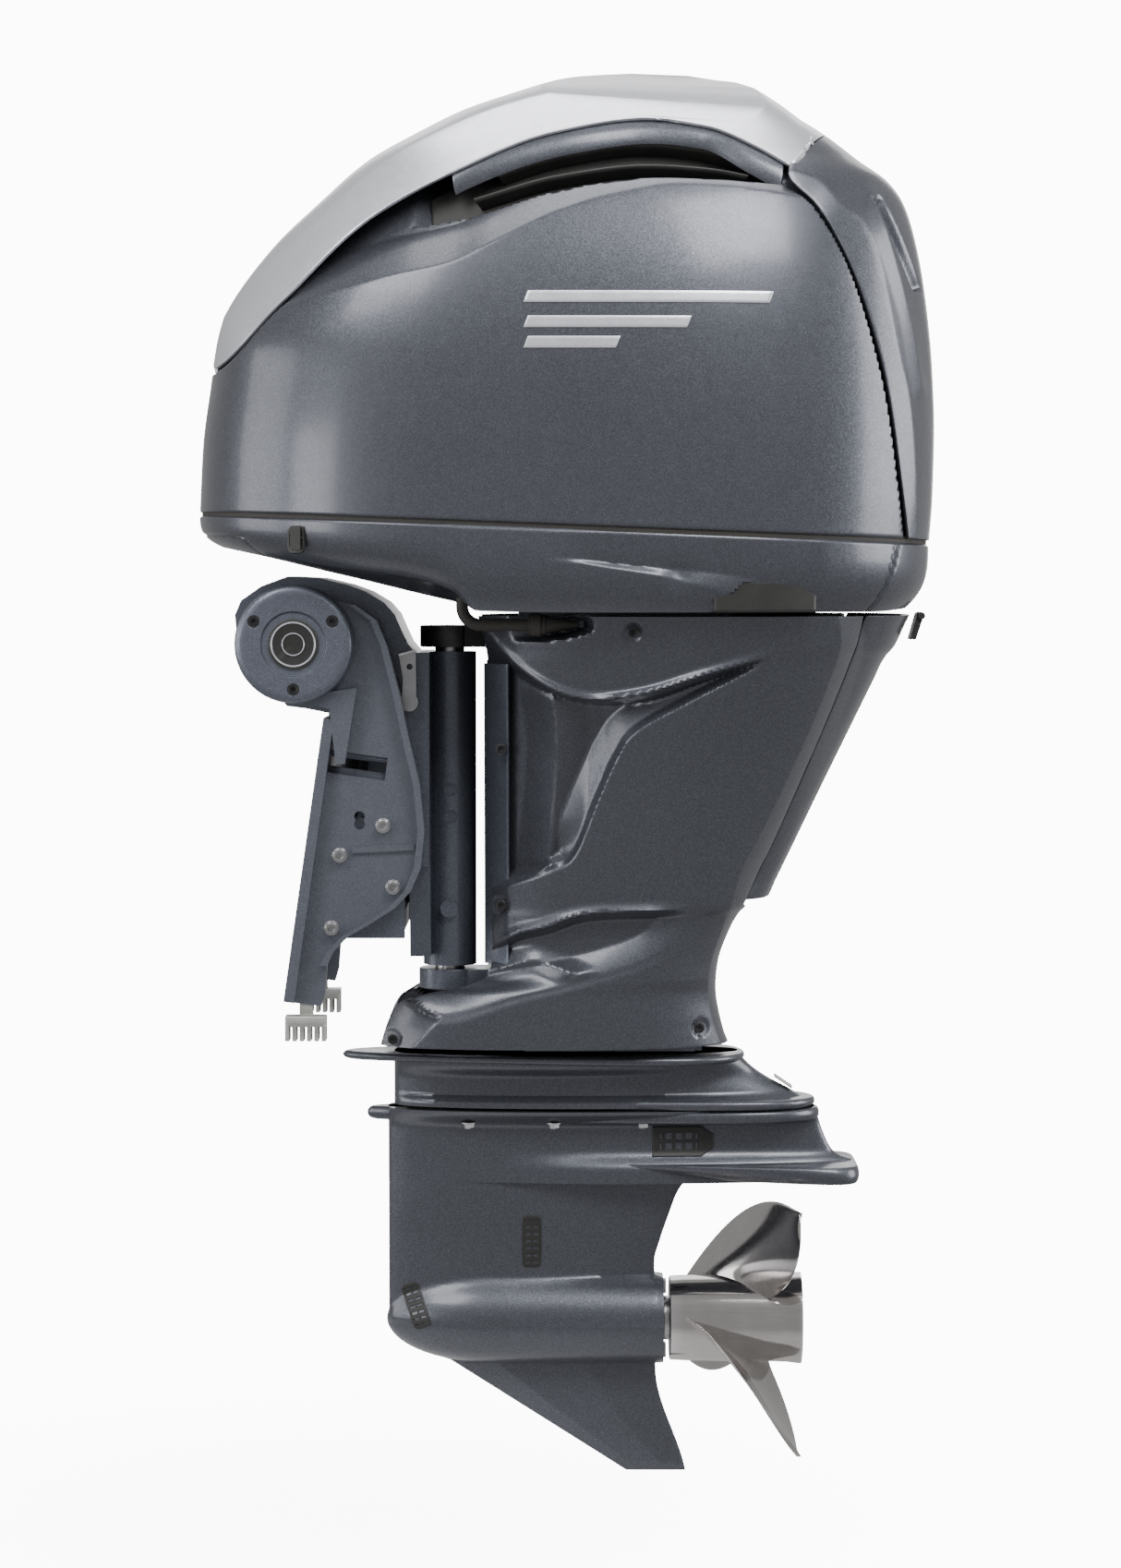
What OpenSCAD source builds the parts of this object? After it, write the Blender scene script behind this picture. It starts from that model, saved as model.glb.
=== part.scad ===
// Outboard motor, V6 class, 25 inch transom.
// +X points aft, +Y to starboard, +Z up. The origin is on the mid plane, where the
// transom's face meets its top edge.

/* [Transom bracket] */
// Lean of the transom's face from upright, degrees
transom_lean = 8.2; // [4:0.2:14]
// Height of the tilt axis above the transom's top
tilt_axis_up = 97; // [85:1:115]
// Distance of the tilt axis forward of the transom's face
tilt_axis_fwd = 37; // [20:1:45]
// Clear width between the two clamp brackets
bracket_gap = 300; // [290:2:360]
// Thickness of a clamp bracket's side plate
bracket_web = 14; // [10:1:18]
// Width of a clamp bracket over its rim
bracket_rim = 35; // [30:1:44]
// Depth of the clamp brackets below the transom's top
bracket_drop = 376; // [340:2:400]
// Outer radius of the tilt tube
tilt_tube_r = 20; // [16:0.5:24]
// Radius of the round end caps
cap_r = 77; // [66:1:78]
// Diameter of a transom bolt hole
bolt_hole_d = 13.5; // [12:0.5:16]
// Spacing across the boat of the upper transom bolts
upper_bolts = 327.4; // [320:0.1:335]
// Spacing across the boat of the lower transom bolts
lower_bolts = 250; // [240:1:256]

/* [Steering] */
// Distance of the steering axis aft of the transom
steer_x = 160; // [150:1:175]
// Radius of the hollow pivot shaft
pivot_r = 20; // [16:0.5:24]
// Radius of the swivel bracket's steering tube
steer_tube_r = 36; // [34:0.5:40]
// Half width of the swivel bracket
swivel_half_w = 112; // [100:1:118]

/* [Leg] */
// Drop from the transom's top to the underside of the anti-ventilation plate
plate_drop = 631; // [600:1:760]
// Drop from that plate to the propeller shaft's axis
shaft_below_plate = 195; // [185:1:215]
// Drop from the propeller shaft's axis to the tip of the skeg
skeg_below_shaft = 210; // [190:1:230]
// Distance of the drive shaft's axis aft of the transom
drive_x = 300; // [292:1:315]
// Radius of the gearcase torpedo
torpedo_r = 62; // [61:0.5:70]
// Thickness of the aprons' skin
apron_wall = 4; // [3:0.5:6]

/* [Powerhead] */
// Length of the cowl
cowl_len = 983; // [930:1:1100]
// Width of the cowl
cowl_w = 634; // [600:1:700]
// Height of the cowl above its seam with the pan
cowl_h = 617; // [590:1:740]
// Thickness of the cowl's wall
cowl_wall = 5; // [3:0.5:8]
// Thickness of the visor and of the rear panel
skin_t = 4; // [3:0.5:6]

/* [Propeller and gears] */
// Diameter of the propeller
prop_d = 387; // [360:1:400]
// Diameter of the propeller's hub
hub_d = 120; // [110:1:124]
// Number of blades
blades = 3; // [3:1:4]
// Distance that a blade advances in one turn
prop_pitch = 430; // [380:5:500]
// Teeth on the pinion
pinion_teeth = 12; // [12:1:14]
// Teeth on each driven gear
gear_teeth = 21; // [20:1:24]
// Pitch radius of the driven gears at their large end
gear_r = 42; // [40:0.5:44]
// Radius of the propeller shaft
shaft_r = 13; // [11:0.1:15.6]

/* [Fits] */
// Radial clearance of a shaft that turns in a bore
run_gap = 0.05; // [0.02:0.01:0.1]

/* [Hidden] */
$fn = 48;

paint = [0.30, 0.32, 0.36];
dark = [0.16, 0.16, 0.16];
steel = [0.78, 0.78, 0.80];
zinc = [0.66, 0.66, 0.64];
silver = [0.70, 0.71, 0.75];

// ---- places worked out from the sizes above
tilt_axis = [-tilt_axis_fwd, tilt_axis_up];
bracket_in = bracket_gap / 2;
plate_z = -plate_drop;
shaft_z = plate_z - shaft_below_plate;
skeg_z = shaft_z - skeg_below_shaft;
parting_z = plate_z + 101;
splash_z = plate_z + 165;
apron_bottom = splash_z + 18;
apron_top = 133;
housing_bottom = splash_z + 14;
guide_z = 150;
deck_z = guide_z + 20;
swivel_top = 84;
swivel_bottom = -340;
arm_z = swivel_top + 6;
arm_t = 29;
lower_mount_z = swivel_bottom - 5;
lower_mount_t = 27;
mount_x = steer_x + 75;
housing_x = mount_x + 27;
ram_foot = [-10, -220];
ram_head = [50, 60];
ram_pin_r = 9;
ram_foot_pin_r = 10;
ram_eye_bore = ram_pin_r + 11;
ram_len = norm(ram_head - ram_foot);
ram_angle = atan2(ram_head.y - ram_foot.y, ram_head.x - ram_foot.x);
drive_r = 10;
hub_r = hub_d / 2;
hub_x = 458;
hub_len = 180;
torpedo_end = 450;
pinion_r = gear_r * pinion_teeth / gear_teeth;
crank_top = 700;

// ---- small helpers
function mix(a, b, t) = a + (b - a) * t;
function clamp01(t) = min(1, max(0, t));
function ease(t) = let (u = clamp01(t)) u * u * (3 - 2 * u);
function flat(rows) = [for (r = rows) each r];
function rev(list) = [for (i = [len(list) - 1:-1:0]) list[i]];
function mirrored(pts) = [for (p = pts) [p.x, -p.y, p.z]];

// An extrusion along Y of an outline drawn in X and Z, from y0 to y1
module side_plate(pts, y0, y1) {
    translate([0, y1, 0]) rotate([90, 0, 0]) linear_extrude(y1 - y0) polygon(pts);
}

// A cylinder along Y from y0 to y1 at [x, z]
module y_rod(c, r, y0, y1) {
    translate([c.x, y1, c.y]) rotate([90, 0, 0]) cylinder(r = r, h = y1 - y0);
}

// A cylinder along X from x0 to x1 at [y, z]
module x_rod(y, z, r, x0, x1) {
    translate([x0, y, z]) rotate([0, 90, 0]) cylinder(r = r, h = x1 - x0);
}

module both_sides() {
    children();
    mirror([0, 1, 0]) children();
}

module box_at(x0, x1, y0, y1, z0, z1) {
    translate([x0, y0, z0]) cube([x1 - x0, y1 - y0, z1 - z0]);
}

// Triangles between neighbouring rows of equal length
function strip_faces(rows, cols, base, wrap, turn) = [
    for (i = [0:rows - 2], j = [0:wrap ? cols - 1 : cols - 2])
        let (a = base + i * cols + j, b = base + i * cols + (j + 1) % cols,
             c = a + cols, d = b + cols)
        each turn ? [[a, c, b], [b, c, d]] : [[a, b, c], [b, d, c]]
];

// Triangles that join two edges, each given as a list of point numbers
function rim_faces(a, b, turn) = [
    for (i = [0:len(a) - 2])
        each turn ? [[a[i], b[i], a[i + 1]], [a[i + 1], b[i], b[i + 1]]]
                  : [[a[i], a[i + 1], b[i]], [a[i + 1], b[i + 1], b[i]]]
];

// A thin closed skin between an outer grid of points and an inner one
module skin(outer, inner, turn = false) {
    rows = len(outer);
    cols = len(outer[0]);
    n = rows * cols;
    first = [for (j = [0:cols - 1]) j];
    last = [for (j = [0:cols - 1]) (rows - 1) * cols + j];
    left = [for (i = [0:rows - 1]) i * cols];
    right = [for (i = [0:rows - 1]) i * cols + cols - 1];
    polyhedron(
        concat(flat(outer), flat(inner)),
        concat(
            strip_faces(rows, cols, 0, false, turn),
            strip_faces(rows, cols, n, false, !turn),
            rim_faces(first, [for (k = first) k + n], !turn),
            rim_faces(last, [for (k = last) k + n], turn),
            rim_faces(left, [for (k = left) k + n], turn),
            rim_faces(right, [for (k = right) k + n], !turn)),
        convexity = 6);
}

// ---- the cowl's surface
// Its nose and tail, as shares of its length at shares of its height
nose_line = [[0, 0], [0.15, 0.005], [0.28, 0.016], [0.35, 0.022], [0.46, 0.053],
    [0.58, 0.104], [0.68, 0.167], [0.77, 0.23], [0.83, 0.293], [0.885, 0.356],
    [0.925, 0.42], [0.96, 0.48], [0.985, 0.545], [1, 0.62]];
tail_line = [[0, 0.993], [0.1, 0.998], [0.24, 1], [0.37, 0.997], [0.54, 0.986],
    [0.68, 0.968], [0.73, 0.956], [0.77, 0.937], [0.81, 0.9], [0.87, 0.848],
    [0.915, 0.798], [0.955, 0.748], [0.985, 0.697], [1, 0.64]];
// Lower edge of the visor: share of height at shares of length
visor_line = [[0, 0.305], [0.045, 0.305], [0.071, 0.371], [0.155, 0.5], [0.228, 0.587],
    [0.277, 0.64], [0.386, 0.746], [0.483, 0.813], [0.58, 0.86], [0.63, 0.869],
    [0.68, 0.858], [0.725, 0.822], [0.786, 0.757], [1, 0.77]];
// Forward edge of the rear panel: share of length at shares of height
panel_line = [[0, 0.947], [0.12, 0.937], [0.3, 0.919], [0.45, 0.894], [0.58, 0.864],
    [0.69, 0.821], [0.75, 0.784], [1, 0.7]];
cowl_x0 = -173;
seam_front = 268;
seam_fall = 0.039;
plan_power = 2.8;

function seam_z(x) = seam_front - seam_fall * (x - cowl_x0);
function nose_x(h) = cowl_x0 + cowl_len * lookup(h, nose_line);
function tail_x(h) = cowl_x0 + cowl_len * lookup(h, tail_line);
function half_w(h) = cowl_w / 2 * sqrt(max(0, 1 - pow(h, 3.2)));
function panel_x(h) = let (m = (nose_x(h) + tail_x(h)) / 2, a = (tail_x(h) - nose_x(h)) / 2)
    min(cowl_x0 + cowl_len * lookup(h, panel_line), m + 0.8 * a);
// Point of the cowl at length x and height share h, moved in by d
function cowl_point(x, h, d) =
    let (m = (nose_x(h) + tail_x(h)) / 2, a = (tail_x(h) - nose_x(h)) / 2,
         e = max(-1, min(1, (x - m) / a)),
         y = pow(max(0, 1 - pow(abs(e), plan_power)), 1 / plan_power),
         px = m + e * max(0.4, a - d))
    [px, -y * max(0.2, half_w(h) - d), seam_z(px) + h * (cowl_h - d)];
// Places along one side of a level, nose to tail, with a step at the rear panel's edge
function level_xs(h) =
    let (m = (nose_x(h) + tail_x(h)) / 2, a = (tail_x(h) - nose_x(h)) / 2,
         k = plan_power / 2, e = (panel_x(h) - 6 - m) / a,
         t1 = acos(-sign(e) * pow(abs(e), k)))
    concat([for (i = [0:11]) let (c = -cos(t1 * i / 11)) m + a * sign(c) * pow(abs(c), 1 / k)],
        [panel_x(h) - 1],
        [for (i = [1:6]) let (c = -cos(mix(t1, 180, i / 6))) m + a * sign(c) * pow(abs(c), 1 / k)]);
// How deep the main moulding lies below the outer surface
function under_skin(x, h, i) =
    let (f = (x - cowl_x0) / cowl_len, edge = lookup(f, visor_line),
         deep = mix(skin_t + 4.2, 18, ease((f - 0.1) / 0.15) * ease((0.78 - f) / 0.1)),
         visor = deep * clamp01((h - edge + 0.1) / 0.06))
    max(visor, i > 11 && h < 0.8 ? skin_t + 3 : 0);
cowl_levels = [0.001, 0.1, 0.2, 0.28, 0.34, 0.4, 0.46, 0.52, 0.58, 0.64, 0.7, 0.75, 0.8, 0.85,
    0.89, 0.93, 0.96, 0.985];
function cowl_ring(h, extra) =
    let (xs = level_xs(h),
         port = [for (i = [0:len(xs) - 1]) cowl_point(xs[i], h, under_skin(xs[i], h, i) + extra)])
    concat(port, mirrored(rev([for (i = [1:len(port) - 2]) port[i]])));

module top_cowl() {
    outer = [for (h = cowl_levels) cowl_ring(h, 0)];
    inner = [for (h = cowl_levels) cowl_ring(h, cowl_wall)];
    rows = len(outer);
    cols = len(outer[0]);
    n = rows * cols;
    ring = [for (j = [0:cols]) j % cols];
    color(paint) polyhedron(
        concat(flat(outer), flat(inner)),
        concat(
            strip_faces(rows, cols, 0, true, false),
            strip_faces(rows, cols, n, true, true),
            rim_faces(ring, [for (k = ring) k + n], true),
            [[for (j = [0:cols - 1]) n - cols + j]],
            [rev([for (j = [0:cols - 1]) 2 * n - cols + j])]),
        convexity = 6);
}

// The silver visor: rows run from its port edge over the spine to its starboard edge
visor_rows = 18;
visor_cols = 8;
function spine_at(t) = t < 0.74
    ? let (h = mix(0.31, 0.995, sin(90 * t / 0.74))) [nose_x(h), h]
    : let (h = mix(0.995, 0.78, 1 - cos(90 * (t - 0.74) / 0.26))) [tail_x(h), h];
function visor_edge_at(t) = let (f = mix(0.05, 0.786, pow(t, 0.9)))
    [cowl_x0 + cowl_len * f, lookup(f, visor_line)];
function visor_row(t, d) =
    let (e = visor_edge_at(t), s = spine_at(t),
         half = [for (j = [0:visor_cols]) let (w = j / visor_cols, v = 1 - (1 - w) * (1 - w))
             cowl_point(mix(e.x, s.x, v), mix(e.y, s.y, v), d)])
    concat(half, mirrored(rev([for (j = [0:visor_cols - 1]) half[j]])));
module cowl_visor() {
    outer = [for (i = [0:visor_rows]) visor_row(i / visor_rows, 0)];
    inner = [for (i = [0:visor_rows]) visor_row(i / visor_rows, skin_t)];
    color(silver) skin(outer, inner, true);
}

// The rear panel: rows run around the tail from port to starboard
function panel_row(h, d) =
    let (half = [for (j = [0:7]) let (w = j / 7, v = 1 - (1 - w) * (1 - w))
            cowl_point(mix(panel_x(h) + 1, tail_x(h), v), h, d)])
    concat(half, mirrored(rev([for (j = [0:6]) half[j]])));
module cowl_rear_panel() {
    levels = [for (i = [0:10]) mix(0.005, 0.74, i / 10)];
    color(paint) skin([for (h = levels) panel_row(h, 0)], [for (h = levels) panel_row(h, skin_t)],
        false);
}

// Plain stripes on each side, one long and two short
module cowl_badges() {
    color(silver) both_sides() for (b = [[0.45, 0.75, 0.495], [0.45, 0.62, 0.45], [0.45, 0.55, 0.405]]) {
        top = b[2] + 0.022;
        row = [for (i = [0:5]) mix(b[0], b[1], i / 5) * cowl_len + cowl_x0];
        skin([for (h = [b[2], top]) [for (x = row) cowl_point(x, h, -2.2)]],
            [for (h = [b[2], top]) [for (x = row) cowl_point(x, h, -0.8)]], true);
    }
}

// ---- the pan below the seam, one closed ring of cross sections
pan_side_line = [[-173, 214], [23, 196], [175, 190], [235, 160], [300, 138], [742, 140],
    [810, 146]];
pan_hole = [[190, 640], 150];
function pan_ring_xs() = level_xs(0);
function pan_hole_point(i, count) = let (t = 180 * i / count, k = 0.7)
    [mix(pan_hole[0][0], pan_hole[0][1], (1 - sign(cos(t)) * pow(abs(cos(t)), k)) / 2),
     -pan_hole[1] * pow(sin(t), k)];
function pan_section(i) =
    let (x = pan_ring_xs()[i], last = len(pan_ring_xs()) - 1,
         top = cowl_point(x, 0, 0), zb = lookup(x, pan_side_line),
         side = function (k, d) let (p = cowl_point(x, 0, d)) [p.x, p.y, mix(seam_z(p.x), zb, k)],
         hole = pan_hole_point(i, last), hz = mix(168, 142, clamp01((hole[0] - 190) / 70)),
         lift = function (p, dz) [p.x, p.y, p.z + dz])
    [side(0.01, 0), side(0.3, 0), side(0.75, 8), side(1, 30), [hole[0], hole[1], hz],
     [hole[0], hole[1], hz + 6], lift(side(1, 38), 7), side(0.75, 14), side(0.3, 6), side(0.01, 6)];
module lower_cowl() {
    last = len(pan_ring_xs()) - 1;
    port = [for (i = [0:last]) pan_section(i)];
    all = concat(port, [for (i = [last - 1:-1:1]) mirrored(port[i])]);
    rows = len(all);
    cols = len(all[0]);
    color(paint) polyhedron(flat(all), [
        for (i = [0:rows - 1], j = [0:cols - 1])
            let (a = i * cols + j, b = i * cols + (j + 1) % cols,
                 c = ((i + 1) % rows) * cols + j, d = ((i + 1) % rows) * cols + (j + 1) % cols)
            each [[a, c, b], [b, c, d]]
    ], convexity = 8);
}

// ---- the aprons' surface, as level slices with a nose, a tail and a half width
apron_levels = [apron_top, 110, 85, 40, -5, -60, -120, -180, -240, -275, -305, -335,
    -352, -372, -385, -410, apron_bottom + 4];
apron_tail = [[-450, 543], [-412, 535], [-374, 530], [-336, 533], [-298, 546], [-267, 568],
    [-254, 590], [75, 751], [90, 764], [115, 776], [136, 786]];
apron_front = [[-450, 66], [-385, 92], [-372, 125], [-352, 208], [-318, 221], [5, 221],
    [85, 214], [136, 252]];
apron_width = [[-450, 120], [-400, 125], [-340, 130], [-200, 155], [-50, 192], [60, 232],
    [136, 262]];
apron_nose = [[-450, 30], [-372, 60], [-352, 150], [-300, 180], [136, 185]];
apron_strip = 30;
function apron_point(x, z, d) =
    let (n = lookup(z, apron_nose), r = lookup(z, apron_tail), m = (n + r) / 2, a = (r - n) / 2,
         e = max(-1, min(1, (x - m) / a)), y = pow(max(0, 1 - pow(abs(e), 2.4)), 1 / 2.4))
    [m + e * (a - d), -y * (lookup(z, apron_width) - d), z];
function apron_row(z, x0, x1, d) = [for (i = [0:11]) let (w = i / 11)
    apron_point(mix(x0, x1, 1 - (1 - w) * sqrt(1 - w)), z, d)];
function strip_start(z) = lookup(z, apron_tail) - apron_strip * ease((z + 275) / 40);
module apron_half() {
    outer = [for (z = apron_levels) apron_row(z, lookup(z, apron_front), strip_start(z) - 0.5, 0)];
    inner = [for (z = apron_levels) apron_row(z, lookup(z, apron_front), strip_start(z) - 0.5,
        apron_wall)];
    difference() {
        skin(outer, inner, false);
        box_at(0, 900, -0.5, 60, -700, 300);
        for (p = screw_places) screw_seat(p) cylinder(r = screw_r + 0.3, h = 20);
    }
}
module apron_port() color(paint) difference() {
    apron_half();
    // notch for the flush hose's boot
    x_rod(hose_y, hose_z, 18, 200, 340);
}
module apron_starboard() color(paint) mirror([0, 1, 0]) apron_half();
module apron_rear_cover() {
    levels = [for (i = [0:8]) mix(-232, apron_top, i / 8)];
    row = function (z, d) let (half = [for (j = [0:5]) let (w = j / 5, v = 1 - (1 - w) * (1 - w))
            apron_point(mix(strip_start(z) + 1, lookup(z, apron_tail), v), z, d)])
        concat(half, mirrored(rev([for (j = [0:4]) half[j]])));
    color(paint) skin([for (z = levels) row(z, 0)], [for (z = levels) row(z, apron_wall)], false);
}
// Screws along the aprons, sunk into flat seats
screw_places = [[403, 113], [230, -43], [230, -252], [498, -419], [84, -434]];
screw_r = 7;
module screw_seat(p) translate(apron_point(p[0], p[1], 2)) rotate([90, 0, 0]) children();
module apron_screws() {
    color(dark) both_sides() for (p = screw_places) screw_seat(p) difference() {
        translate([0, 0, 0.05]) cylinder(r = screw_r, h = 4);
        translate([0, 0, 2]) cylinder(r = 3, h = 4, $fn = 6);
    }
}

// ---- clamp brackets, tilt tube and caps
bracket_line = [[42, 148], [70, 128], [84, 94], [99, 34], [112, -27], [126, -87], [132, -148],
    [127, -196], [114, -227], [93, -249], [62, -269], [31, -287], [12, -307], [3, -325]];
flange_t = 14;
flange_in = 105;
function face_x(z) = z * tan(transom_lean);
bracket_out = bracket_in + bracket_rim;
module on_transom() rotate([0, transom_lean, 0]) children();
// Holes in the transom flange: [distance down the face, half spacing]
bolt_rows = [[55.6, upper_bolts / 2], [258, lower_bolts / 2]];
module clamp_bracket() {
    foot = [[0, -bracket_drop + 13], [-5, -bracket_drop - 4],
        [face_x(-bracket_drop) + 5, -bracket_drop + 1]];
    hook = [[face_x(-5) + 5, -5], [6, 6], [-24, 12], [-49, 15]];
    band = concat(bracket_line, [for (p = rev(bracket_line)) [p.x - 9, p.y]]);
    difference() {
        union() {
            side_plate(concat(bracket_line, foot, hook, [[-80, 60], [-90, 120], [-37, 165]]),
                -bracket_in - bracket_web, -bracket_in);
            side_plate(band, -bracket_out, -bracket_in);
            y_rod(tilt_axis, cap_r - 3, -bracket_out, -bracket_in);
            on_transom() box_at(0, flange_t, -bracket_out, -flange_in, -bracket_drop, 0);
            side_plate([[-64, 24], [-24, 20], [8, 12], [16, -60], [28, -60], [44, 40]],
                -bracket_out, -bracket_in);
            for (a = [0:60:300])
                translate([tilt_axis.x, 0, tilt_axis.y]) rotate([0, a, 0])
                    box_at(cap_r - 6, cap_r - 1, -bracket_out, -bracket_in - bracket_web, -4, 4);
            // step across the side plate
            side_plate([[36, -170], [118, -166], [118, -174], [36, -178]],
                -bracket_in - bracket_web - 5, -bracket_in);
        }
        y_rod(tilt_axis, tilt_tube_r, -bracket_out - 1, -bracket_in + 1);
        for (b = bolt_rows) on_transom() x_rod(-b[1], -b[0], bolt_hole_d / 2, -1, flange_t + 1);
        on_transom() x_rod(-bolt_rows[0][1], -bolt_rows[0][0], 15, flange_t, 90);
        for (p = housing_bolts) y_rod(p, 6, -bracket_out - 1, -bracket_in + 1);
        for (dz = [-5, 5]) y_rod([46, -135 + dz], 7, -bracket_out - 1, -bracket_in + 1);
    }
}
housing_bolts = [[77, -142], [20, -181], [90, -223], [9, -277]];
module clamp_bracket_port() color(paint) clamp_bracket();
module clamp_bracket_starboard() color(paint) mirror([0, 1, 0]) clamp_bracket();

module tilt_tube() {
    color(steel) difference() {
        y_rod(tilt_axis, tilt_tube_r, -bracket_out, bracket_out);
        y_rod(tilt_axis, tilt_tube_r - 7, -bracket_out - 1, bracket_out + 1);
    }
}
cap_t = 29;
medallion_r = 33;
module tilt_cap() {
    translate([tilt_axis.x, -bracket_out - 0.05, tilt_axis.y]) rotate([90, 0, 0]) difference() {
        rotate_extrude() polygon(concat([[0, 0], [cap_r, 0]],
            [for (a = [0:15:90]) [cap_r - 12 + 12 * cos(a), cap_t - 8 + 8 * sin(a)]],
            [[medallion_r + 10, cap_t], [medallion_r + 8, cap_t - 3], [0, cap_t - 3]]));
        for (a = [30, 150, 270]) rotate([0, 0, a]) translate([cap_r - 18, 0, cap_t - 6])
            cylinder(r = 8, h = 20);
    }
}
module tilt_cap_port() color(paint) tilt_cap();
module tilt_cap_starboard() color(paint) mirror([0, 1, 0]) tilt_cap();
module cap_medallions() {
    color(silver) both_sides() translate([tilt_axis.x, -bracket_out - cap_t + 2.9, tilt_axis.y])
        rotate([90, 0, 0]) {
            cylinder(r = medallion_r, h = 2);
            difference() {
                cylinder(r = medallion_r, h = 3.5);
                translate([0, 0, -1]) cylinder(r = medallion_r - 5, h = 6);
            }
            difference() {
                cylinder(r = 17, h = 3.5);
                translate([0, 0, -1]) cylinder(r = 12, h = 6);
            }
        }
}
module cap_screws() {
    color(dark) both_sides() translate([tilt_axis.x, -bracket_out - cap_t + 5.9, tilt_axis.y])
        rotate([90, 0, 0]) for (a = [30, 150, 270]) rotate([0, 0, a]) translate([cap_r - 18, 0, 0])
            difference() {
                cylinder(r = 7.5, h = 5);
                translate([0, 0, 2]) cylinder(r = 3.5, h = 4, $fn = 6);
            }
}
module bracket_bolts() {
    color(steel) both_sides() for (p = housing_bolts) {
        y = bracket_in + bracket_web + 0.1;
        translate([p.x, -y, p.y]) rotate([90, 0, 0]) {
            cylinder(r = 10, h = 2.5);
            difference() {
                cylinder(r = 8, h = 12);
                translate([0, 0, 5]) cylinder(r = 4.5, h = 8, $fn = 6);
            }
        }
        y_rod(p, 5.9, -y, -bracket_in + 0.1);
    }
}
module bracket_anode() {
    z1 = -bracket_drop - 16;
    color(zinc) both_sides() {
        box_at(-52, 2, -bracket_out + 4, -bracket_in - 2, z1 - 14, z1 - 0.1);
        for (i = [0:5]) box_at(-52 + i * 9.6, -46 + i * 9.6, -bracket_out + 4, -bracket_in - 2,
            z1 - 33, z1 - 14);
        box_at(-34, -16, -bracket_in - 12, -bracket_in - 4, z1 - 1, -bracket_drop + 1);
    }
}

// ---- power trim and tilt
trim_dir = [0.64, 0.77];
trim_foot = [0, -282];
trim_y = 66;
trim_angle = atan2(trim_dir.y, trim_dir.x);
trim_len = 96;
module along(c, angle, y) translate([c.x, y, c.y]) rotate([0, 90 - angle, 0]) children();
module trim_tilt_housing() {
    color(paint) difference() {
        union() {
            box_at(0, 100, -bracket_in + 0.2, bracket_in - 0.2, -292, -266);
            both_sides() box_at(0, 104, -bracket_in + 0.2, -bracket_in + 22, -292, -132);
            both_sides() along(trim_foot, trim_angle, trim_y) cylinder(r = 25, h = trim_len);
            both_sides() box_at(-22, 60, 34, 56, -292, -206);
        }
        y_rod(ram_foot, ram_foot_pin_r, -60, 60);
        both_sides() along(trim_foot, trim_angle, trim_y)
            translate([0, 0, 12]) cylinder(r = 17, h = trim_len);
        for (p = housing_bolts) y_rod(p, 5.9, -bracket_in - 1, bracket_in + 1);
        box_at(-80, face_x(-250) + 12, -200, 200, -400, 0);
    }
}
module trim_tilt_motor() {
    color(dark) {
        translate([66, 110, -265.8]) cylinder(r = 17, h = 92);
        translate([66, 110, -173.8]) cylinder(r = 13, h = 14);
        translate([66, -110, -265.8]) cylinder(r = 17, h = 70);
    }
}
module ram_lower_pin() color(steel) y_rod(ram_foot, ram_foot_pin_r, -56, 56);
module tilt_cylinder() {
    color(dark) difference() {
        union() {
            y_rod(ram_foot, 20, -30, 30);
            along(ram_foot, ram_angle, 0) translate([0, 0, 14]) cylinder(r = 27, h = 178);
        }
        y_rod(ram_foot, ram_foot_pin_r + run_gap, -31, 31);
        along(ram_foot, ram_angle, 0) {
            translate([0, 0, 30]) cylinder(r = 20, h = 152);
            translate([0, 0, 100]) cylinder(r = 11 + run_gap, h = 100);
        }
    }
}
module tilt_rod() {
    color(steel) difference() {
        union() {
            along(ram_foot, ram_angle, 0) {
                translate([0, 0, 40]) cylinder(r = 20 - run_gap, h = 22);
                translate([0, 0, 60]) cylinder(r = 11, h = ram_len - 84);
            }
            y_rod(ram_head, ram_eye_bore + 10, -13, 13);
        }
        y_rod(ram_head, ram_eye_bore, -14, 14);
    }
}
module trim_rods() {
    color(steel) both_sides() along(trim_foot, trim_angle, trim_y) {
        translate([0, 0, 18]) cylinder(r = 17 - run_gap, h = 14);
        translate([0, 0, 30]) cylinder(r = 10, h = 100);
        translate([0, 0, 130]) cylinder(r1 = 10, r2 = 6, h = 6);
    }
}

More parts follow.
